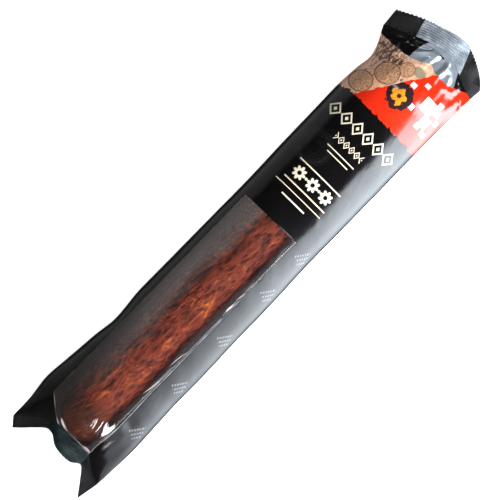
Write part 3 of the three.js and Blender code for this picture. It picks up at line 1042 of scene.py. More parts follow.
    def _tan_end(self, at: PrintPlace) -> Socket:
        """The tan side of the print's end: a grainy board with a heap, a leaf and round slices."""
        wires = at.wires
        tan = wires.blend(at.grain, self.tan, self.pale_tan)
        heap = self.effects.round(wires, at.flat, self.heap, 6.0).outputs["Mask"]
        patches = wires.noise(wires.scaled(at.web, (0.22, 0.3, 0.0)), 1.0, 4.0, 0.7)
        shadow = wires.total(patches, wires.product(heap, 0.12))
        tan = wires.blend(wires.ramp(shadow, 0.585, 0.63, 0.0, 0.9), tan, self.shadow)
        tan = wires.blend(wires.product(heap, wires.ramp(shadow, 0.54, 0.49, 0.0, 0.8)), tan, self.light_heap)
        oval = wires.vector(at.along, wires.product(at.across, 0.7))
        leaf = self.effects.round(wires, oval, self.leaf, 0.8).outputs["Mask"]
        tan = wires.blend(wires.product(leaf, 0.8), tan, self.leaf_green)
        speckle = wires.noise(wires.scaled(at.web, (0.6, 0.6, 0.0)), 1.0, 3.0, 0.85)
        for place in self.slices:
            disc = self.effects.round(wires, at.flat, place)
            rim = wires.ramp(disc.outputs["Reach"], 0.86, 0.97)
            flesh = wires.blend(wires.ramp(speckle, 0.42, 0.58), self.flesh, self.pale_flesh)
            flesh = wires.blend(wires.product(rim, 0.85), flesh, self.rind)
            tan = wires.blend(disc.outputs["Mask"], tan, flesh)
        return tan

    def _red_end(self, at: PrintPlace) -> Socket:
        """The red side of the print's end: white checks, and an orange flower on a dark disc."""
        wires = at.wires
        red = wires.blend(wires.product(at.cloud, 0.3), self.red, self.bright_red)
        for check in self.white_checks:
            mask = check.mask(wires, self.effects, at.flat)
            red = wires.blend(wires.product(mask, check.strength), red, self.white)
        torn_place = wires.vector(wires.total(at.along, at.torn), at.across)
        dark = self.effects.round(wires, torn_place, self.flower_dark, 0.5).outputs["Mask"]
        red = wires.blend(dark, red, self.flower_ground)
        ragged = wires.vector(
            wires.total(at.along, wires.product(at.torn, 1.1)),
            wires.total(at.across, wires.product(at.torn, -0.8)),
        )
        orange = wires.blend(at.grain, self.orange, self.pale_orange)
        red = wires.blend(self._petals(wires, ragged, *self.flower, 5), red, orange)
        heart = self.effects.round(wires, at.flat, (*self.flower[:2], 1.7), 0.8).outputs["Mask"]
        return wires.blend(heart, red, self.flower_heart)

    @staticmethod
    def _past_print(at: PrintPlace, front: Socket) -> tuple[Socket, Socket]:
        """Two masks: all the film past the print, and its bare middle, which shows the back through it."""
        wires = at.wires
        bow = wires.math("TANH", wires.ratio(wires.less(12.0, at.across), 8.0))
        far = wires.most(wires.math("MULTIPLY_ADD", at.across, -0.5, -10.0), 0.0)
        swell = wires.ramp(wires.size(wires.total(at.across, -1.0)), 0.0, 8.0, 3.0, 0.0)
        end = wires.total(
            at.along, wires.product(bow, -3.0), wires.product(at.torn, 0.12), wires.product(far, -1.0),
            wires.product(swell, -1.0),
        )
        past = wires.ramp(end, 181.8, 182.4)
        upper = wires.total(at.across, wires.product(wires.less(at.along, 192.0), -0.27))
        lower = wires.total(at.across, wires.product(wires.less(at.along, 189.0), -0.375))
        under, over = wires.ramp(upper, 20.8, 21.2, 1.0, 0.0), wires.ramp(lower, -24.2, -23.8)
        middle = wires.product(under, over, front)
        return past, wires.product(past, middle)

    def _bare_hem(self, at: PrintPlace) -> Socket:
        """The pale line where the ink stops a hair short of the window, brightened in patches as painted
        highlights, as a mask.
        """
        wires = at.wires
        off = wires.size(wires.less(at.across, self.lines.window_left_y - 0.25))
        beside = wires.ramp(at.along, self.lines.window_x, self.lines.window_x + 0.5, 1.0, 0.0)
        hem_glints = wires.noise(wires.scaled(at.web, (0.07, 0.0, 0.0)), 1.0, 3.0, 0.6)
        return wires.product(
            wires.ramp(off, 0.25, 0.4, 1.0, 0.0), beside, wires.ramp(hem_glints, 0.35, 0.7, 0.1, 0.45)
        )

    def build(self) -> bpy.types.Material:
        """Makes the material.

        Returns:
            The printed film's material.
        """
        material, wires, out = new_material("printed_film")
        place = wires.attribute("web")
        along, web, across = wires.axes(place)
        cloud = wires.noise(wires.scaled(place, (0.2, 0.2, 0.0)), 1.0, 3.0, 0.6)
        torn = wires.product(wires.less(cloud, 0.5), 9.0)
        grain = wires.ramp(wires.noise(wires.scaled(place, (0.5, 0.5, 0.0)), 1.0, 4.0, 0.8), 0.35, 0.65)
        at = PrintPlace(wires, place, along, across, wires.vector(along, across), cloud, torn, grain)
        front = wires.ramp(wires.size(web), 66.0, 67.0, 1.0, 0.0)
        # Faint marks first, then the cream print, both on black.
        colour = wires.blend(wires.product(self._stamp(at), 0.5), self.black, self.stamp_grey)
        colour = wires.blend(wires.product(self._dashes(at, web), 0.7), colour, self.grey)
        colour = wires.blend(self._cream_print(at), colour, self.cream)
        # The tan and red end of the print, with an uneven start.
        start = wires.ramp(wires.total(along, torn), 131.2, 131.8)
        border = wires.total(across, wires.product(wires.less(along, 131.0), 0.62), wires.product(torn, 0.5))
        is_red = wires.ramp(border, 24.6, 25.4, 1.0, 0.0)
        printed = wires.blend(is_red, self._tan_end(at), self._red_end(at))
        colour = wires.blend(wires.product(start, front), colour, printed)
        # Past the print: clear film over the black back in the middle, black at both sides.
        past, bare = self._past_print(at, front)
        colour = wires.blend(past, colour, self.black)
        # Painted reflection: the bare film at the head end is light silver, where the crimped film at the
        # tail is dark.
        colour = wires.blend(bare, colour, self.painted_reflection)
        slit = self.effects.box(
            wires, at.flat, self.slit.x, self.slit.y, self.slit.half_x, self.slit.half_y, 0.8
        )
        colour = wires.blend(slit, colour, self.slit_black)
        # The pale unprinted hem, with painted highlights where it brightens.
        colour = wires.blend(self._bare_hem(at), colour, self.hem_and_glint)
        dents = self.effects.dents(wires, wires.scaled(place, (0.05, 0.08, 0.0)), 1.0, 0.35)
        wires.principled(
            out,
            Base_Color=colour,
            Roughness=self.effects.rough(wires, wires.scaled(place, (0.001, 0.001, 0.0)), 0.11, 0.2),
            Metallic=wires.product(bare, 0.55),
            Normal=wires.bump(dents, 0.0004, 0.3),
            IOR=1.62,
        )
        return material


@dataclass(frozen=True)
class FilmInsideFinish:
    """The dull grey inner face of the printed film."""

    effects: SharedEffects

    def build(self) -> bpy.types.Material:
        """Makes the material."""
        material, wires, out = new_material("film_inside")
        spot = wires.position()
        cloud = wires.noise(spot, 40.0, 3.0)
        dull = self.effects.rough(wires, spot, 0.3, 0.5)
        wires.principled(
            out,
            Base_Color=wires.blend(cloud, (0.008, 0.006, 0.006, 1.0), (0.022, 0.018, 0.018, 1.0)),
            Roughness=dull,
        )
        return material


@dataclass(frozen=True)
class SealFinish:
    """Crimped film of an end seal: black sides, and a clear middle that shows the film under it; a light
    middle colour is a painted reflection.
    """

    effects: SharedEffects
    name: str
    middle: Colour
    metallic: float
    upper: tuple[float, float, float]
    lower: tuple[float, float, float]
    black: Colour = (0.003, 0.003, 0.0035, 1.0)

    def build(self) -> bpy.types.Material:
        """Makes the material.

        Returns:
            The seal's material.
        """
        material, wires, out = new_material(self.name)
        attribute = wires.attribute("web")
        along, _, across = wires.axes(attribute)
        limits = []
        for (x, y, slope), sign in ((self.upper, 1.0), (self.lower, -1.0)):
            line = wires.total(across, wires.product(wires.less(along, x), -slope), -y)
            limits.append(wires.ramp(wires.product(line, sign), -0.2, 0.2, 1.0, 0.0))
        middle = wires.product(*limits)
        cloud = wires.noise(wires.scaled(attribute, (0.12, 0.0, 0.12)), 1.0, 4.0, 0.6)
        shade = wires.ramp(cloud, 0.3, 0.7, 0.55, 1.3)
        tones = {0: 1.0, 6: self.middle, 7: wires.vector(shade, shade, shade)}
        lit = wires.add("Mix", tones, data_type="RGBA", blend_type="MULTIPLY")
        colour = wires.blend(middle, self.black, lit.outputs[2])
        fine = wires.product(
            wires.sine(wires.product(wires.total(along, across), 3.1)),
            wires.sine(wires.product(wires.less(along, across), 3.1)),
        )
        dents = self.effects.dents(wires, wires.scaled(attribute, (0.09, 0.0, 0.09)), 1.0, 0.3)
        height = wires.total(wires.product(fine, 0.25), wires.product(dents, 0.7))
        relief = wires.bump(height, 0.0007, 0.6)
        dull = self.effects.rough(wires, wires.scaled(attribute, (0.001, 0.0, 0.001)), 0.16, 0.3)
        wires.principled(
            out,
            Base_Color=colour,
            Roughness=dull,
            Metallic=wires.product(middle, self.metallic),
            Normal=relief,
            IOR=1.4,
        )
        return material


@dataclass(frozen=True)
class BlackFilmFinish:
    """Plain glossy black film, without print."""

    effects: SharedEffects

    def build(self) -> bpy.types.Material:
        """Makes the material."""
        material, wires, out = new_material("black_film")
        spot = wires.position()
        cloud = wires.noise(spot, 60.0, 3.0)
        dull = self.effects.rough(wires, spot, 0.13, 0.24)
        dents = self.effects.dents(wires, spot, 90.0, 0.4)
        relief = wires.bump(dents, 0.0004, 0.3)
        wires.principled(
            out,
            Base_Color=wires.blend(cloud, (0.006, 0.006, 0.007, 1.0), (0.012, 0.012, 0.013, 1.0)),
            Roughness=dull,
            Normal=relief,
            IOR=1.62,
        )
        return material


# Pieces.


@dataclass
class Sausage:
    """The cured sausage: a spun body with a blunt tail, wrinkled lengthwise, and a gathered head."""

    lines: PackLines
    radius: float = 21.0
    centre_z: float = 23.2
    head_x: float = 160.0
    tail_dome: float = 22.0
    head_dome: float = 20.0
    dome_power: float = 2.3
    neck_radius: float = 2.6
    nub_radius: float = 5.2
    nub_length: float = 10.6
    step: float = 0.8
    around: int = 180
    twist: float = -0.0035
    wrinkle: float = 1.15

    def _radius_at(self, x: float) -> float:
        """The plain radius of the body at x."""
        for tip, dome in ((self.lines.sausage_tail_x, self.tail_dome), (self.head_x, self.head_dome)):
            u = 1 - abs(x - tip) / dome
            if u > 0:
                return self.radius * max(1 - u**self.dome_power, 0.0) ** (1 / self.dome_power)
        return self.radius

    def _profile(self) -> list[tuple[float, float]]:
        """The outline from the tail's tip to the end of the gathered casing, as x and radius."""
        tail, head = self.lines.sausage_tail_x, self.head_x
        quarter_turns = [math.pi / 2 * i / 18 for i in range(19)]
        count = round((head - self.head_dome - tail - self.tail_dome) / self.step)
        along = [tail + self.tail_dome * (1 - math.cos(a)) for a in quarter_turns]
        along += [lerp(tail + self.tail_dome, head - self.head_dome, i / count) for i in range(1, count + 1)]
        along += [head - self.head_dome * (1 - math.sin(a)) for a in quarter_turns[1:]]
        outline = [(x, self._radius_at(x)) for x in along]
        outline = [(x, r if x < 0 else max(r, self.neck_radius)) for x, r in outline]
        wide = self.nub_radius
        nub = ((0.38, self.neck_radius), (0.6, 4.2), (0.72, wide), (0.86, wide), (0.97, 3.2), (1.0, 0.0))
        return outline + [(head + self.nub_length * share, r) for share, r in nub]

    @staticmethod
    def _drift(place: Vector) -> Vector:
        """How far the wrinkles wander at a place: three plain noises, which repeat from run to run."""
        return Vector([noise.noise(place + Vector((offset, 0.0, 0.0))) for offset in (0.0, 31.7, 67.3)])

    def _relief(self, x: float, y: float, z: float) -> float:
        """How high the wrinkled casing stands at a place, from 0 in a furrow to about 1 on a ridge."""
        turn = self.twist * x
        y, z = y * math.cos(turn) - z * math.sin(turn), y * math.sin(turn) + z * math.cos(turn)
        drift = self._drift(Vector((x / 26, y / 15, z / 15)))
        x, y, z = x + 7 * drift.x, y + 3.0 * drift.y, z + 3.0 * drift.z
        long = 1 - min(abs(noise.noise(Vector((x / 42, y / 8.5, z / 8.5)))) * 3.4, 1.0)
        ridge = 1 - abs(noise.noise(Vector((x / 11, y / 3.6, z / 3.6)))) * 2.6
        crest = 1 - abs(noise.noise(Vector((x / 5.5 + 5, y / 2.1, z / 2.1)))) * 2.6
        lump = noise.noise(Vector((x / 16 + 4, y / 7, z / 7)))
        return 0.14 + 0.50 * ridge + 0.44 * crest + 0.28 * lump - 0.26 * long**1.5

    def build(self, material: bpy.types.Material) -> bpy.types.Object:
        """Spins, wrinkles and dresses the sausage.

        Args:
            material: the casing's finish.

        Returns:
            The piece.
        """
        bm = bmesh.new()
        outline = [bm.verts.new((x, 0.0, radius)) for x, radius in self._profile()]
        edges = [bm.edges.new(pair) for pair in zip(outline, outline[1:])]
        bmesh.ops.spin(
            bm, geom=outline + edges, cent=(0, 0, 0), axis=(1, 0, 0), angle=math.tau,
            steps=self.around, use_merge=True,
        )
        bmesh.ops.remove_doubles(bm, verts=bm.verts, dist=1e-4)
        bmesh.ops.recalc_face_normals(bm, faces=bm.faces)
        bm.normal_update()
        layer = bm.verts.layers.float.new("relief")
        tail_x = self.lines.sausage_tail_x
        for vert in bm.verts:
            x, y, z = vert.co
            height = self._relief(x, y, z)
            vert[layer] = height
            full = smoothstep(2.5, 9.0, math.hypot(y, z)) if x < self.head_x else 0.4
            full *= lerp(0.45, 1.0, smoothstep(tail_x + 8, tail_x + 34, x))
            vert.co += vert.normal * (height - 0.75) * self.wrinkle * full
        self.lines.to_frame(bm, (0.0, self.lines.sausage_y, self.centre_z))
        return mesh_object("cured_sausage", bm, [material])


@dataclass(frozen=True)
class Crease:
    """A raised crease in the film from one point to another, in millimetres, seen from above."""

    start: tuple[float, float]
    end: tuple[float, float]
    width: float
    height: float
    bow: float = 0.0

    def lift(self, x: float, y: float) -> float:
        """How far the crease raises the film at a place."""
        (x0, y0), (x1, y1) = self.start, self.end
        length = math.dist(self.start, self.end)
        along = ((x - x0) * (x1 - x0) + (y - y0) * (y1 - y0)) / length
        off = ((x - x0) * (y1 - y0) - (y - y0) * (x1 - x0)) / length
        share = along / length
        if not -0.3 < share < 1.3:
            return 0.0
        off -= self.bow * 4 * share * (1 - share)
        taper = smoothstep(-0.15, 0.2, share) * smoothstep(1.15, 0.8, share)
        return self.height * taper * bump(off, 0.0, self.width)


@dataclass
class FilmTube:
    """The film web wrapped round the sausage: printed film with a clear window."""

    lines: PackLines
    tail_rows: int = 56
    body_rows: int = 176
    head_rows: int = 64
    columns: int = 160
    wall: float = 0.12
    fin_half: float = 6.6
    fin_lift: float = 0.45
    window_creases: tuple[Crease, ...] = (
        Crease((-184, -6.8), (-159, -3.4), 1.5, 0.6, 0.8),
        Crease((-187, -15.0), (-156, -9.0), 2.0, 0.45),
        Crease((-120, -17.0), (-100, -18.0), 0.6, 0.2),
        Crease((-46, -18.0), (-34, -18.4), 0.6, 0.3),
    )

    def _rows(self) -> list[tuple[Optional[End], float]]:
        """Every row of the web: its end zone and share of it, or None and x on the body."""
        tail = [(End.TAIL, (i / self.tail_rows) ** 1.8) for i in range(self.tail_rows)]
        body = [
            (None, lerp(self.lines.tail_zone_x, self.lines.head_zone_x, i / self.body_rows))
            for i in range(self.body_rows + 1)
        ]
        head = [(End.HEAD, (i / self.head_rows) ** 1.3) for i in reversed(range(self.head_rows))]
        return tail + body + head

    def _relief(self, x: float, column: Column, fade: float) -> float:
        """How far the film stands out from its plain shape, in millimetres."""
        web = column.web
        tail = smoothstep(-128, -186, x)
        neck = smoothstep(138, 186, x)
        head = smoothstep(174, 194, x)
        broad = 0.45 * noise.noise(Vector((x / 44, web / 26, 0.0)))
        dents = 0.10 * noise.noise(Vector((x / 14, web / 11, 4.0)))
        clear = smoothstep(-20, -24, web) + smoothstep(27, 31, web)
        folds = noise.noise(Vector((x / 34, web / 6.5, 9.0))) * (0.7 * tail * clear + 0.8 * neck)
        ridge = 1 - abs(noise.noise(Vector((x / 13, web / 15, 13.0)))) * 3.0
        crease = 1 - abs(noise.noise(Vector((x / 24 + web / 40, web / 9, 17.0)))) * 3.4
        crumple = (max(ridge, 0.0) ** 2 * 1.5 + max(crease, 0.0) ** 2 * 1.1) * head
        dent = -0.7 * math.exp(-(((x + 150) / 5) ** 2) - ((web + 32) / 5) ** 2)
        return (broad + dents + folds + crumple + dent) * fade

    def _web(self) -> bmesh.types.BMesh:
        """The whole web as a sheet wrapped into a tube, in millimetres, with its web attribute."""
        rows = self._rows()
        columns = [self.lines.column(i / self.columns) for i in range(self.columns + 1)]
        bm = bmesh.new()
        bmesh.ops.create_grid(bm, x_segments=len(rows) - 1, y_segments=self.columns, size=1.0)
        layer = bm.verts.layers.float_vector.new("web")
        relief: dict[bmesh.types.BMVert, float] = {}
        for vert in bm.verts:
            row = rows[round((vert.co.x + 1) / 2 * (len(rows) - 1))]
            column = columns[round((vert.co.y + 1) / 2 * self.columns)]
            end, at = row
            if end is None:
                vert.co = self.lines.body_point(column, at)
            else:
                vert.co = self.lines.end_point(end, column, at)
            fade = 1.0 if end is None else smoothstep(0.0, 0.16, at)
            vert[layer] = (vert.co.x, column.web, column.middle_y)
            relief[vert] = self._relief(vert.co.x, column, fade)
        bm.normal_update()
        axis = Vector((0.0, 0.0, self.lines.side_z))
        if sum(f.normal.dot((f.calc_center_median() - axis) * Vector((0, 1, 1))) for f in bm.faces) < 0:
            bmesh.ops.reverse_faces(bm, faces=bm.faces)
            bm.normal_update()
        flat_half = self.lines.flat_half
        for vert, height in relief.items():
            under = vert.co.z < self.lines.side_z
            flat = smoothstep(flat_half + 6, flat_half, abs(vert.co.y)) if under else 0.0
            vert.co += vert.normal * height * (1 - 0.85 * flat)
            if under and abs(vert.co.y) < self.fin_half + 1:
                over_fin = smoothstep(self.fin_half + 0.8, self.fin_half, abs(vert.co.y))
                vert.co -= vert.normal * self.fin_lift * over_fin
            vert.co.z = max(vert.co.z, 0.0)
        bmesh.ops.remove_doubles(bm, verts=bm.verts, dist=1e-3)
        return bm

    def _cut(self, bm: bmesh.types.BMesh) -> None:
        """Cuts the front of the web along the window's outline."""
        lines = self.lines
        (x0, y0), (x1, y1) = lines.window_slant
        borders = (
            ((lines.window_x, 0, 0), (1, 0, 0), -300, 40),
            ((0, lines.window_left_y, 0), (0, 1, 0), -300, 40),
            ((0, lines.window_right_y, 0), (0, 1, 0), -175, 40),
            ((x0, y0, 0), (y0 - y1, x1 - x0, 0), -300, -165),
        )
        for point, normal, low, high in borders:
            faces = [
                f for f in bm.faces
                if f.normal.z > -0.05 and f.calc_center_median().z > lines.side_z - 1
                and low < f.calc_center_median().x < high
            ]
            edges = {e for f in faces for e in f.edges}
            verts = {v for f in faces for v in f.verts}
            bmesh.ops.bisect_plane(
                bm, geom=[*verts, *edges, *faces], dist=1e-4, plane_co=point,
                plane_no=Vector(normal).normalized(),
            )

    def _is_window(self, face: bmesh.types.BMFace) -> bool:
        """True for a face of the clear window."""
        centre = face.calc_center_median()
        on_front = face.normal.z > -0.05 and centre.z > self.lines.side_z - 1
        return on_front and self.lines.in_window(centre.x, centre.y)

    def build(
        self, printed: bpy.types.Material, inside: bpy.types.Material, clear: bpy.types.Material
    ) -> list[bpy.types.Object]:
        """Wraps the web and parts it into printed film and window.

        Args:
            printed: the printed face's finish.
            inside: the finish of its inner face.
            clear: the window's finish.

        Returns:
            The printed web and the window.
        """
        web = self._web()
        self._cut(web)
        window = web.copy()
        bmesh.ops.delete(web, geom=[f for f in web.faces if self._is_window(f)], context="FACES")
        bmesh.ops.delete(window, geom=[f for f in window.faces if not self._is_window(f)], context="FACES")
        bmesh.ops.subdivide_edges(window, edges=window.edges, cuts=1, use_grid_fill=True)
        window.normal_update()
        edge = {v for e in window.edges if e.is_boundary for v in e.verts}
        for vert in window.verts:
            if vert not in edge:
                lift = sum(crease.lift(vert.co.x, vert.co.y) for crease in self.window_creases)
                vert.co += vert.normal * lift
        pieces = []
        sheets = (("printed_web", web, [printed, inside]), ("window_film", window, [clear]))
        for name, bm, materials in sheets:
            self.lines.to_frame(bm)
            piece = mesh_object(name, bm, materials)
            thicken(piece, self.wall, len(materials) - 1)
            pieces.append(piece)
        return pieces


@dataclass
class EndSeal:
    """A crimped end seal: both films pressed together, ribbed, with a zigzag cut edge."""

    lines: PackLines
    end: End
    teeth: int = 46
    tooth_depth: float = 1.1
    rib_pitch: float = 1.7
    rib_height: float = 0.2
    rows: int = 64
    steps_per_tooth: int = 8
    wall: float = 0.3
    buckle: float = 0.5
    bulge: float = 0.0

    def build(self, face: bpy.types.Material, back: bpy.types.Material) -> bpy.types.Object:
        """Shapes the seal from a flat band.

        Args:
            face: the finish of its front.
            back: the finish of its back.

        Returns:
            The piece.
        """
        bm = bmesh.new()
        across = self.teeth * self.steps_per_tooth
        bmesh.ops.create_grid(bm, x_segments=self.rows, y_segments=across, size=1.0)
        layer = bm.verts.layers.float_vector.new("web")
        lift: dict[bmesh.types.BMVert, float] = {}
        for vert in bm.verts:
            out = lerp(-0.04, 1.0, (vert.co.x + 1) / 2)
            share = (vert.co.y + 1) / 2
            tooth = abs((share * self.teeth) % 1 * 2 - 1)
            depth = (self.lines.on_seal(self.end, share, 1) - self.lines.on_seal(self.end, share, 0)).length
            reach = out - tooth * self.tooth_depth / depth * smoothstep(0.7, 1.0, out)
            point = self.lines.on_seal(self.end, share, max(reach, 0.0))
            if reach < 0:
                inward = self.lines.on_seal(self.end, share, 0) - self.lines.on_seal(self.end, share, 1)
                point += inward * -reach
            vert.co = point
            vert[layer] = (point.x, out, point.y)
            sealed = smoothstep(0.06, 0.16, out) * smoothstep(1.0, 0.92, out)
            ribs = self.rib_height * math.sin(math.tau * reach * depth / self.rib_pitch) * sealed
            wave = self.buckle * noise.noise(Vector((point.x / 16, point.y / 9, 5.0)))
            rise = math.sin(math.pi * min(max(out, 0), 1))
            swell = self.bulge * math.exp(-(((share - 0.47) / 0.13) ** 4)) * rise
            lift[vert] = ribs + wave * smoothstep(0.0, 0.3, out) + swell
        bm.normal_update()
        if sum(face.normal.z for face in bm.faces) < 0:
            bmesh.ops.reverse_faces(bm, faces=bm.faces)
            bm.normal_update()
        for vert, height in lift.items():
            vert.co += vert.normal * height
        self.lines.to_frame(bm)
        piece = mesh_object(f"{self.end.name.lower()}_crimp", bm, [face, back])
        thicken(piece, self.wall, 1)
        return piece


@dataclass
class BackFin:
    """The fin seal, folded flat against the back of the pack."""

    lines: PackLines
    half_width: float = 6.0
    rows: int = 300
    columns: int = 12
    wall: float = 0.2
    start: float = 0.1
    seal_span: float = 97.0
    tail_part: float = 0.12
    head_part: float = 0.14

    def build(self, material: bpy.types.Material) -> bpy.types.Object:
        """Lays the fin along the back, from one end seal to the other."""
        bm = bmesh.new()
        bmesh.ops.create_grid(bm, x_segments=self.rows, y_segments=self.columns, size=1.0)
        lines, body_part = self.lines, 1 - self.tail_part - self.head_part
        for vert in bm.verts:
            s, y = (vert.co.x + 1) / 2, vert.co.y * self.half_width
            column = Column(Layer.BACK, 0, -y / lines.flat_half, 0.5 + y / self.seal_span, 0.0, y)
            if s < self.tail_part:
                vert.co = lines.end_point(End.TAIL, column, lerp(self.start, 1.0, s / self.tail_part))
            elif s > 1 - self.head_part:
                vert.co = lines.end_point(End.HEAD, column, lerp(self.start, 1.0, (1 - s) / self.head_part))
            else:
                share = (s - self.tail_part) / body_part
                vert.co = lines.body_point(column, lerp(lines.tail_zone_x, lines.head_zone_x, share))
        bmesh.ops.recalc_face_normals(bm, faces=bm.faces)
        bm.normal_update()
        if sum(face.normal.z for face in bm.faces) > 0:
            bmesh.ops.reverse_faces(bm, faces=bm.faces)
        self.lines.to_frame(bm)
        piece = mesh_object("fin_seal", bm, [material])
        thicken(piece, self.wall)
        return piece


# Studio.


@dataclass(frozen=True)
class GlowPanel:
    """A soft glowing panel of the studio, which fades towards its edges.

    Attributes:
        name: the panel's name.
        at: its middle, in metres.
        towards: the point it faces.
        size: its width and height in metres.
        strength: how bright it is.
        colour: its colour.
        fade: the share of its width and of its height over which it fades out at each edge.
        dim_left: how bright its -X side is beside its +X side.
        dim_low: how bright its foot is beside its top.
    """

    name: str
    at: Point
    towards: Point
    size: tuple[float, float]
    strength: float
    colour: Colour = (1.0, 1.0, 1.0, 1.0)
    fade: tuple[float, float] = (0.1, 0.2)
    dim_left: float = 1.0
    dim_low: float = 1.0

    def _finish(self) -> bpy.types.Material:
        """The glow, which reads the panel's own attribute."""
        material, wires, out = new_material(self.name)
        across, up, _ = wires.axes(wires.attribute("panel"))
        leaning = wires.math("MULTIPLY_ADD", up, -0.25, wires.total(across, 0.2))
        bright = wires.ramp(leaning, 0.22, 0.62, self.dim_left, 1.0)
        bright = wires.product(bright, wires.ramp(up, 0.15, 0.6, self.dim_low, 1.0))
        for share, fade in ((across, self.fade[0]), (up, self.fade[1])):
            rising, falling = wires.ramp(share, 0.0, fade), wires.ramp(share, 1.0 - fade, 1.0, 1.0, 0.0)
            bright = wires.product(bright, rising, falling)
        glow = wires.add("Emission", {"Color": self.colour, "Strength": wires.product(bright, self.strength)})
        wires.join(glow.outputs[0], out.inputs[0])
        return material

    def build(self) -> bpy.types.Object:
        """Makes the panel and sets it on the stage, unseen by the camera."""
        bm = bmesh.new()
        bmesh.ops.create_grid(bm, x_segments=4, y_segments=4, size=0.5)
        layer = bm.verts.layers.float_vector.new("panel")
        for vert in bm.verts:
            vert[layer] = (vert.co.x + 0.5, vert.co.y + 0.5, 0.0)
        facing = (Vector(self.towards) - Vector(self.at)).normalized()
        across = Vector((0, 0, 1)).cross(-facing).normalized()
        across *= 1 if across.x >= 0 else -1
        up = across.cross(facing) if across.cross(facing).z > 0 else facing.cross(across)
        bmesh.ops.scale(bm, verts=bm.verts, vec=(*self.size, 1.0))
        turn = Matrix((across, up, facing)).transposed().to_4x4()
        bmesh.ops.transform(bm, verts=bm.verts, matrix=Matrix.Translation(self.at) @ turn)
        panel = mesh_object(self.name, bm, [self._finish()])
        panel.visible_camera = False
        panel.visible_shadow = False
        return panel


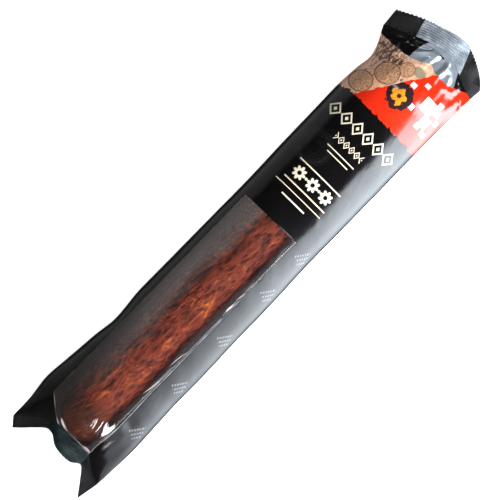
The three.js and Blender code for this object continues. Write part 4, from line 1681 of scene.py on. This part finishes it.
@dataclass
class Studio:
    """A pale floor, soft lights and a camera straight above the pack."""

    lines: PackLines
    camera_height: float = 1.5
    frame_width: float = 0.3607
    turn: float = -45.8
    panels: tuple[GlowPanel, ...] = (
        GlowPanel(
            "low_softbox", (0.25, -1.0, -0.2), (0.25, 0.0, -0.2), (2.4, 1.95), 12.0, (0.85, 0.925, 1.0, 1.0),
            (0.12, 0.08), 0.1, 0.2,
        ),
        GlowPanel(
            "far_panel", (0.25, 1.0, -0.1), (0.25, 0.0, -0.1), (2.4, 2.0), 0.36, (0.95, 0.97, 1.0, 1.0),
            (0.12, 0.25), 0.3,
        ),
        GlowPanel("crease_strip", (-0.60, -0.72, 0.80), (-0.17, 0.0, 0.03), (0.6, 0.2), 30.0),
        GlowPanel("head_strip", (1.05, 0.15, 0.95), (0.2, 0.0, 0.02), (0.4, 0.14), 7.0),
    )

    def camera(self) -> bpy.types.Object:
        """Makes the scene's camera, looking straight down with the pack turned across the frame."""
        data = bpy.data.cameras.new("camera")
        pack_height = 0.03
        data.sensor_width = 36.0
        data.lens = data.sensor_width * (self.camera_height - pack_height) / self.frame_width
        camera = bpy.data.objects.new("camera", data)
        camera.location = (self.lines.shift.x * MM, self.lines.shift.y * MM, self.camera_height)
        camera.rotation_euler = (0.0, 0.0, math.radians(self.turn))
        bpy.context.scene.collection.objects.link(camera)
        bpy.context.scene.camera = camera
        return camera

    def lamp(self, name: str, at: Point, towards: Point, size: tuple[float, float], watts: float,
             colour: tuple[float, float, float] = (1.0, 1.0, 1.0)) -> bpy.types.Object:
        """Adds a soft rectangular light that no glossy surface shows.

        Args:
            name: the light's name.
            at: where it stands, in metres.
            towards: the point it faces.
            size: its width and height in metres.
            watts: its power.
            colour: its colour.

        Returns:
            The light.
        """
        data = bpy.data.lights.new(name, "AREA")
        data.shape = "RECTANGLE"
        data.size, data.size_y = size
        data.energy = watts
        data.color = colour
        light = bpy.data.objects.new(name, data)
        light.location = at
        light.rotation_mode = "QUATERNION"
        light.rotation_quaternion = (Vector(at) - Vector(towards)).to_track_quat("Z", "Y")
        light.visible_glossy = False
        light.visible_camera = False
        bpy.context.scene.collection.objects.link(light)
        return light

    def floor(self) -> bpy.types.Object:
        """Makes the pale floor, which stays light in the picture and is not mirrored in the film."""
        bm = bmesh.new()
        bmesh.ops.create_grid(bm, x_segments=8, y_segments=8, size=4.0)
        material, wires, out = new_material("pale_floor")
        spot = wires.position()
        shade = wires.noise(spot, 3.0, 2.0)
        pale = wires.blend(shade, (0.8, 0.8, 0.8, 1.0), (0.84, 0.84, 0.84, 1.0))
        matt = wires.add("BsdfDiffuse", {"Color": pale})
        glow = wires.add("Emission", {"Color": (1.0, 1.0, 1.0, 1.0), "Strength": 0.9})
        both = wires.add("AddShader", {0: matt.outputs[0], 1: glow.outputs[0]})
        seen = wires.add("LightPath").outputs["Is Camera Ray"]
        mixed = wires.add("MixShader", {0: seen, 1: matt.outputs[0], 2: both.outputs[0]})
        wires.join(mixed.outputs[0], out.inputs[0])
        floor = mesh_object("pale_floor", bm, [material])
        floor.visible_glossy = False
        floor.visible_shadow = False
        return floor

    def world(self) -> None:
        """Sets a white surround for the picture and a dim one for what lights and mirrors."""
        world = bpy.data.worlds.new("surround")
        world.use_nodes = True
        world.node_tree.nodes.clear()
        wires = Wiring(world.node_tree)
        out = wires.add("OutputWorld")
        path = wires.add("LightPath").outputs
        white = wires.add("Background", {0: (1.0, 1.0, 1.0, 1.0), 1: 1.0})
        fill = wires.add("Background", {0: (0.9, 0.93, 1.0, 1.0), 1: 0.3})
        dark = wires.add("Background", {0: (0.9, 0.95, 1.0, 1.0), 1: 0.03})
        unseen = wires.add("MixShader", {0: path["Is Glossy Ray"], 1: fill.outputs[0], 2: dark.outputs[0]})
        shown = wires.add("MixShader", {0: path["Is Camera Ray"], 1: unseen.outputs[0], 2: white.outputs[0]})
        wires.join(shown.outputs[0], out.inputs[0])
        bpy.context.scene.world = world

    def build(self) -> None:
        """Sets up the camera, the floor, the surround and the lights."""
        self.camera()
        self.floor()
        self.world()
        for panel in self.panels:
            panel.build()
        self.lamp("key", (-0.45, -0.75, 0.8), (0.0, 0.0, 0.0), (0.35, 0.25), 20.0, (1.0, 0.96, 0.92))
        view = bpy.context.scene.view_settings
        view.view_transform = "Standard"
        view.look = "None"


# Main.


def main() -> None:
    """Builds the studio and every piece of the pack, in order, and reports each."""
    logging.basicConfig(level=logging.INFO, format="%(name)s: %(message)s")
    lines = PackLines()
    effects = SharedEffects.build()
    Studio(lines).build()

    sausage = Sausage(lines).build(CasingFinish(effects, (-160 + lines.shift.x) * MM).build())
    place(sausage, "cured_meat", "sausage")

    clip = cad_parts["casing_clip"]
    clip.data.materials.clear()
    clip.data.materials.append(ClipFinish(effects).build())
    log.info("casing_clip: kept from the frame")

    black = BlackFilmFinish(effects).build()
    printed, window = FilmTube(lines).build(
        PrintedFilmFinish(effects, lines).build(),
        FilmInsideFinish(effects).build(),
        ClearFilmFinish(effects, lines).build(),
    )
    place(printed, "printed_film", "front_film", "back_film")
    place(window, "clear_film", "window_film")
    place(BackFin(lines).build(black), "black_film", "back_fin")

    tail_finish = SealFinish(
        effects, "tail_crimp_film", (0.007, 0.014, 0.016, 1.0), 0.0, (-195.0, 14.5, 0.0), (-197.0, -20.0, 0.0)
    )
    # The head seal's middle is the same crimped clear film over black as the tail's, given a light silver
    # colour as a painted reflection.
    head_finish = SealFinish(
        effects, "head_crimp_film", (0.27, 0.31, 0.35, 1.0), 0.5, (192.0, 21.0, 0.27), (189.0, -24.0, 0.375)
    )
    tail = EndSeal(lines, End.TAIL, bulge=3.0).build(tail_finish.build(), black)
    place(tail, "sealed_film", "tail_seal")
    head = EndSeal(lines, End.HEAD, buckle=1.5).build(head_finish.build(), black)
    place(head, "sealed_film", "head_seal")


if __name__ == "__main__":
    main()
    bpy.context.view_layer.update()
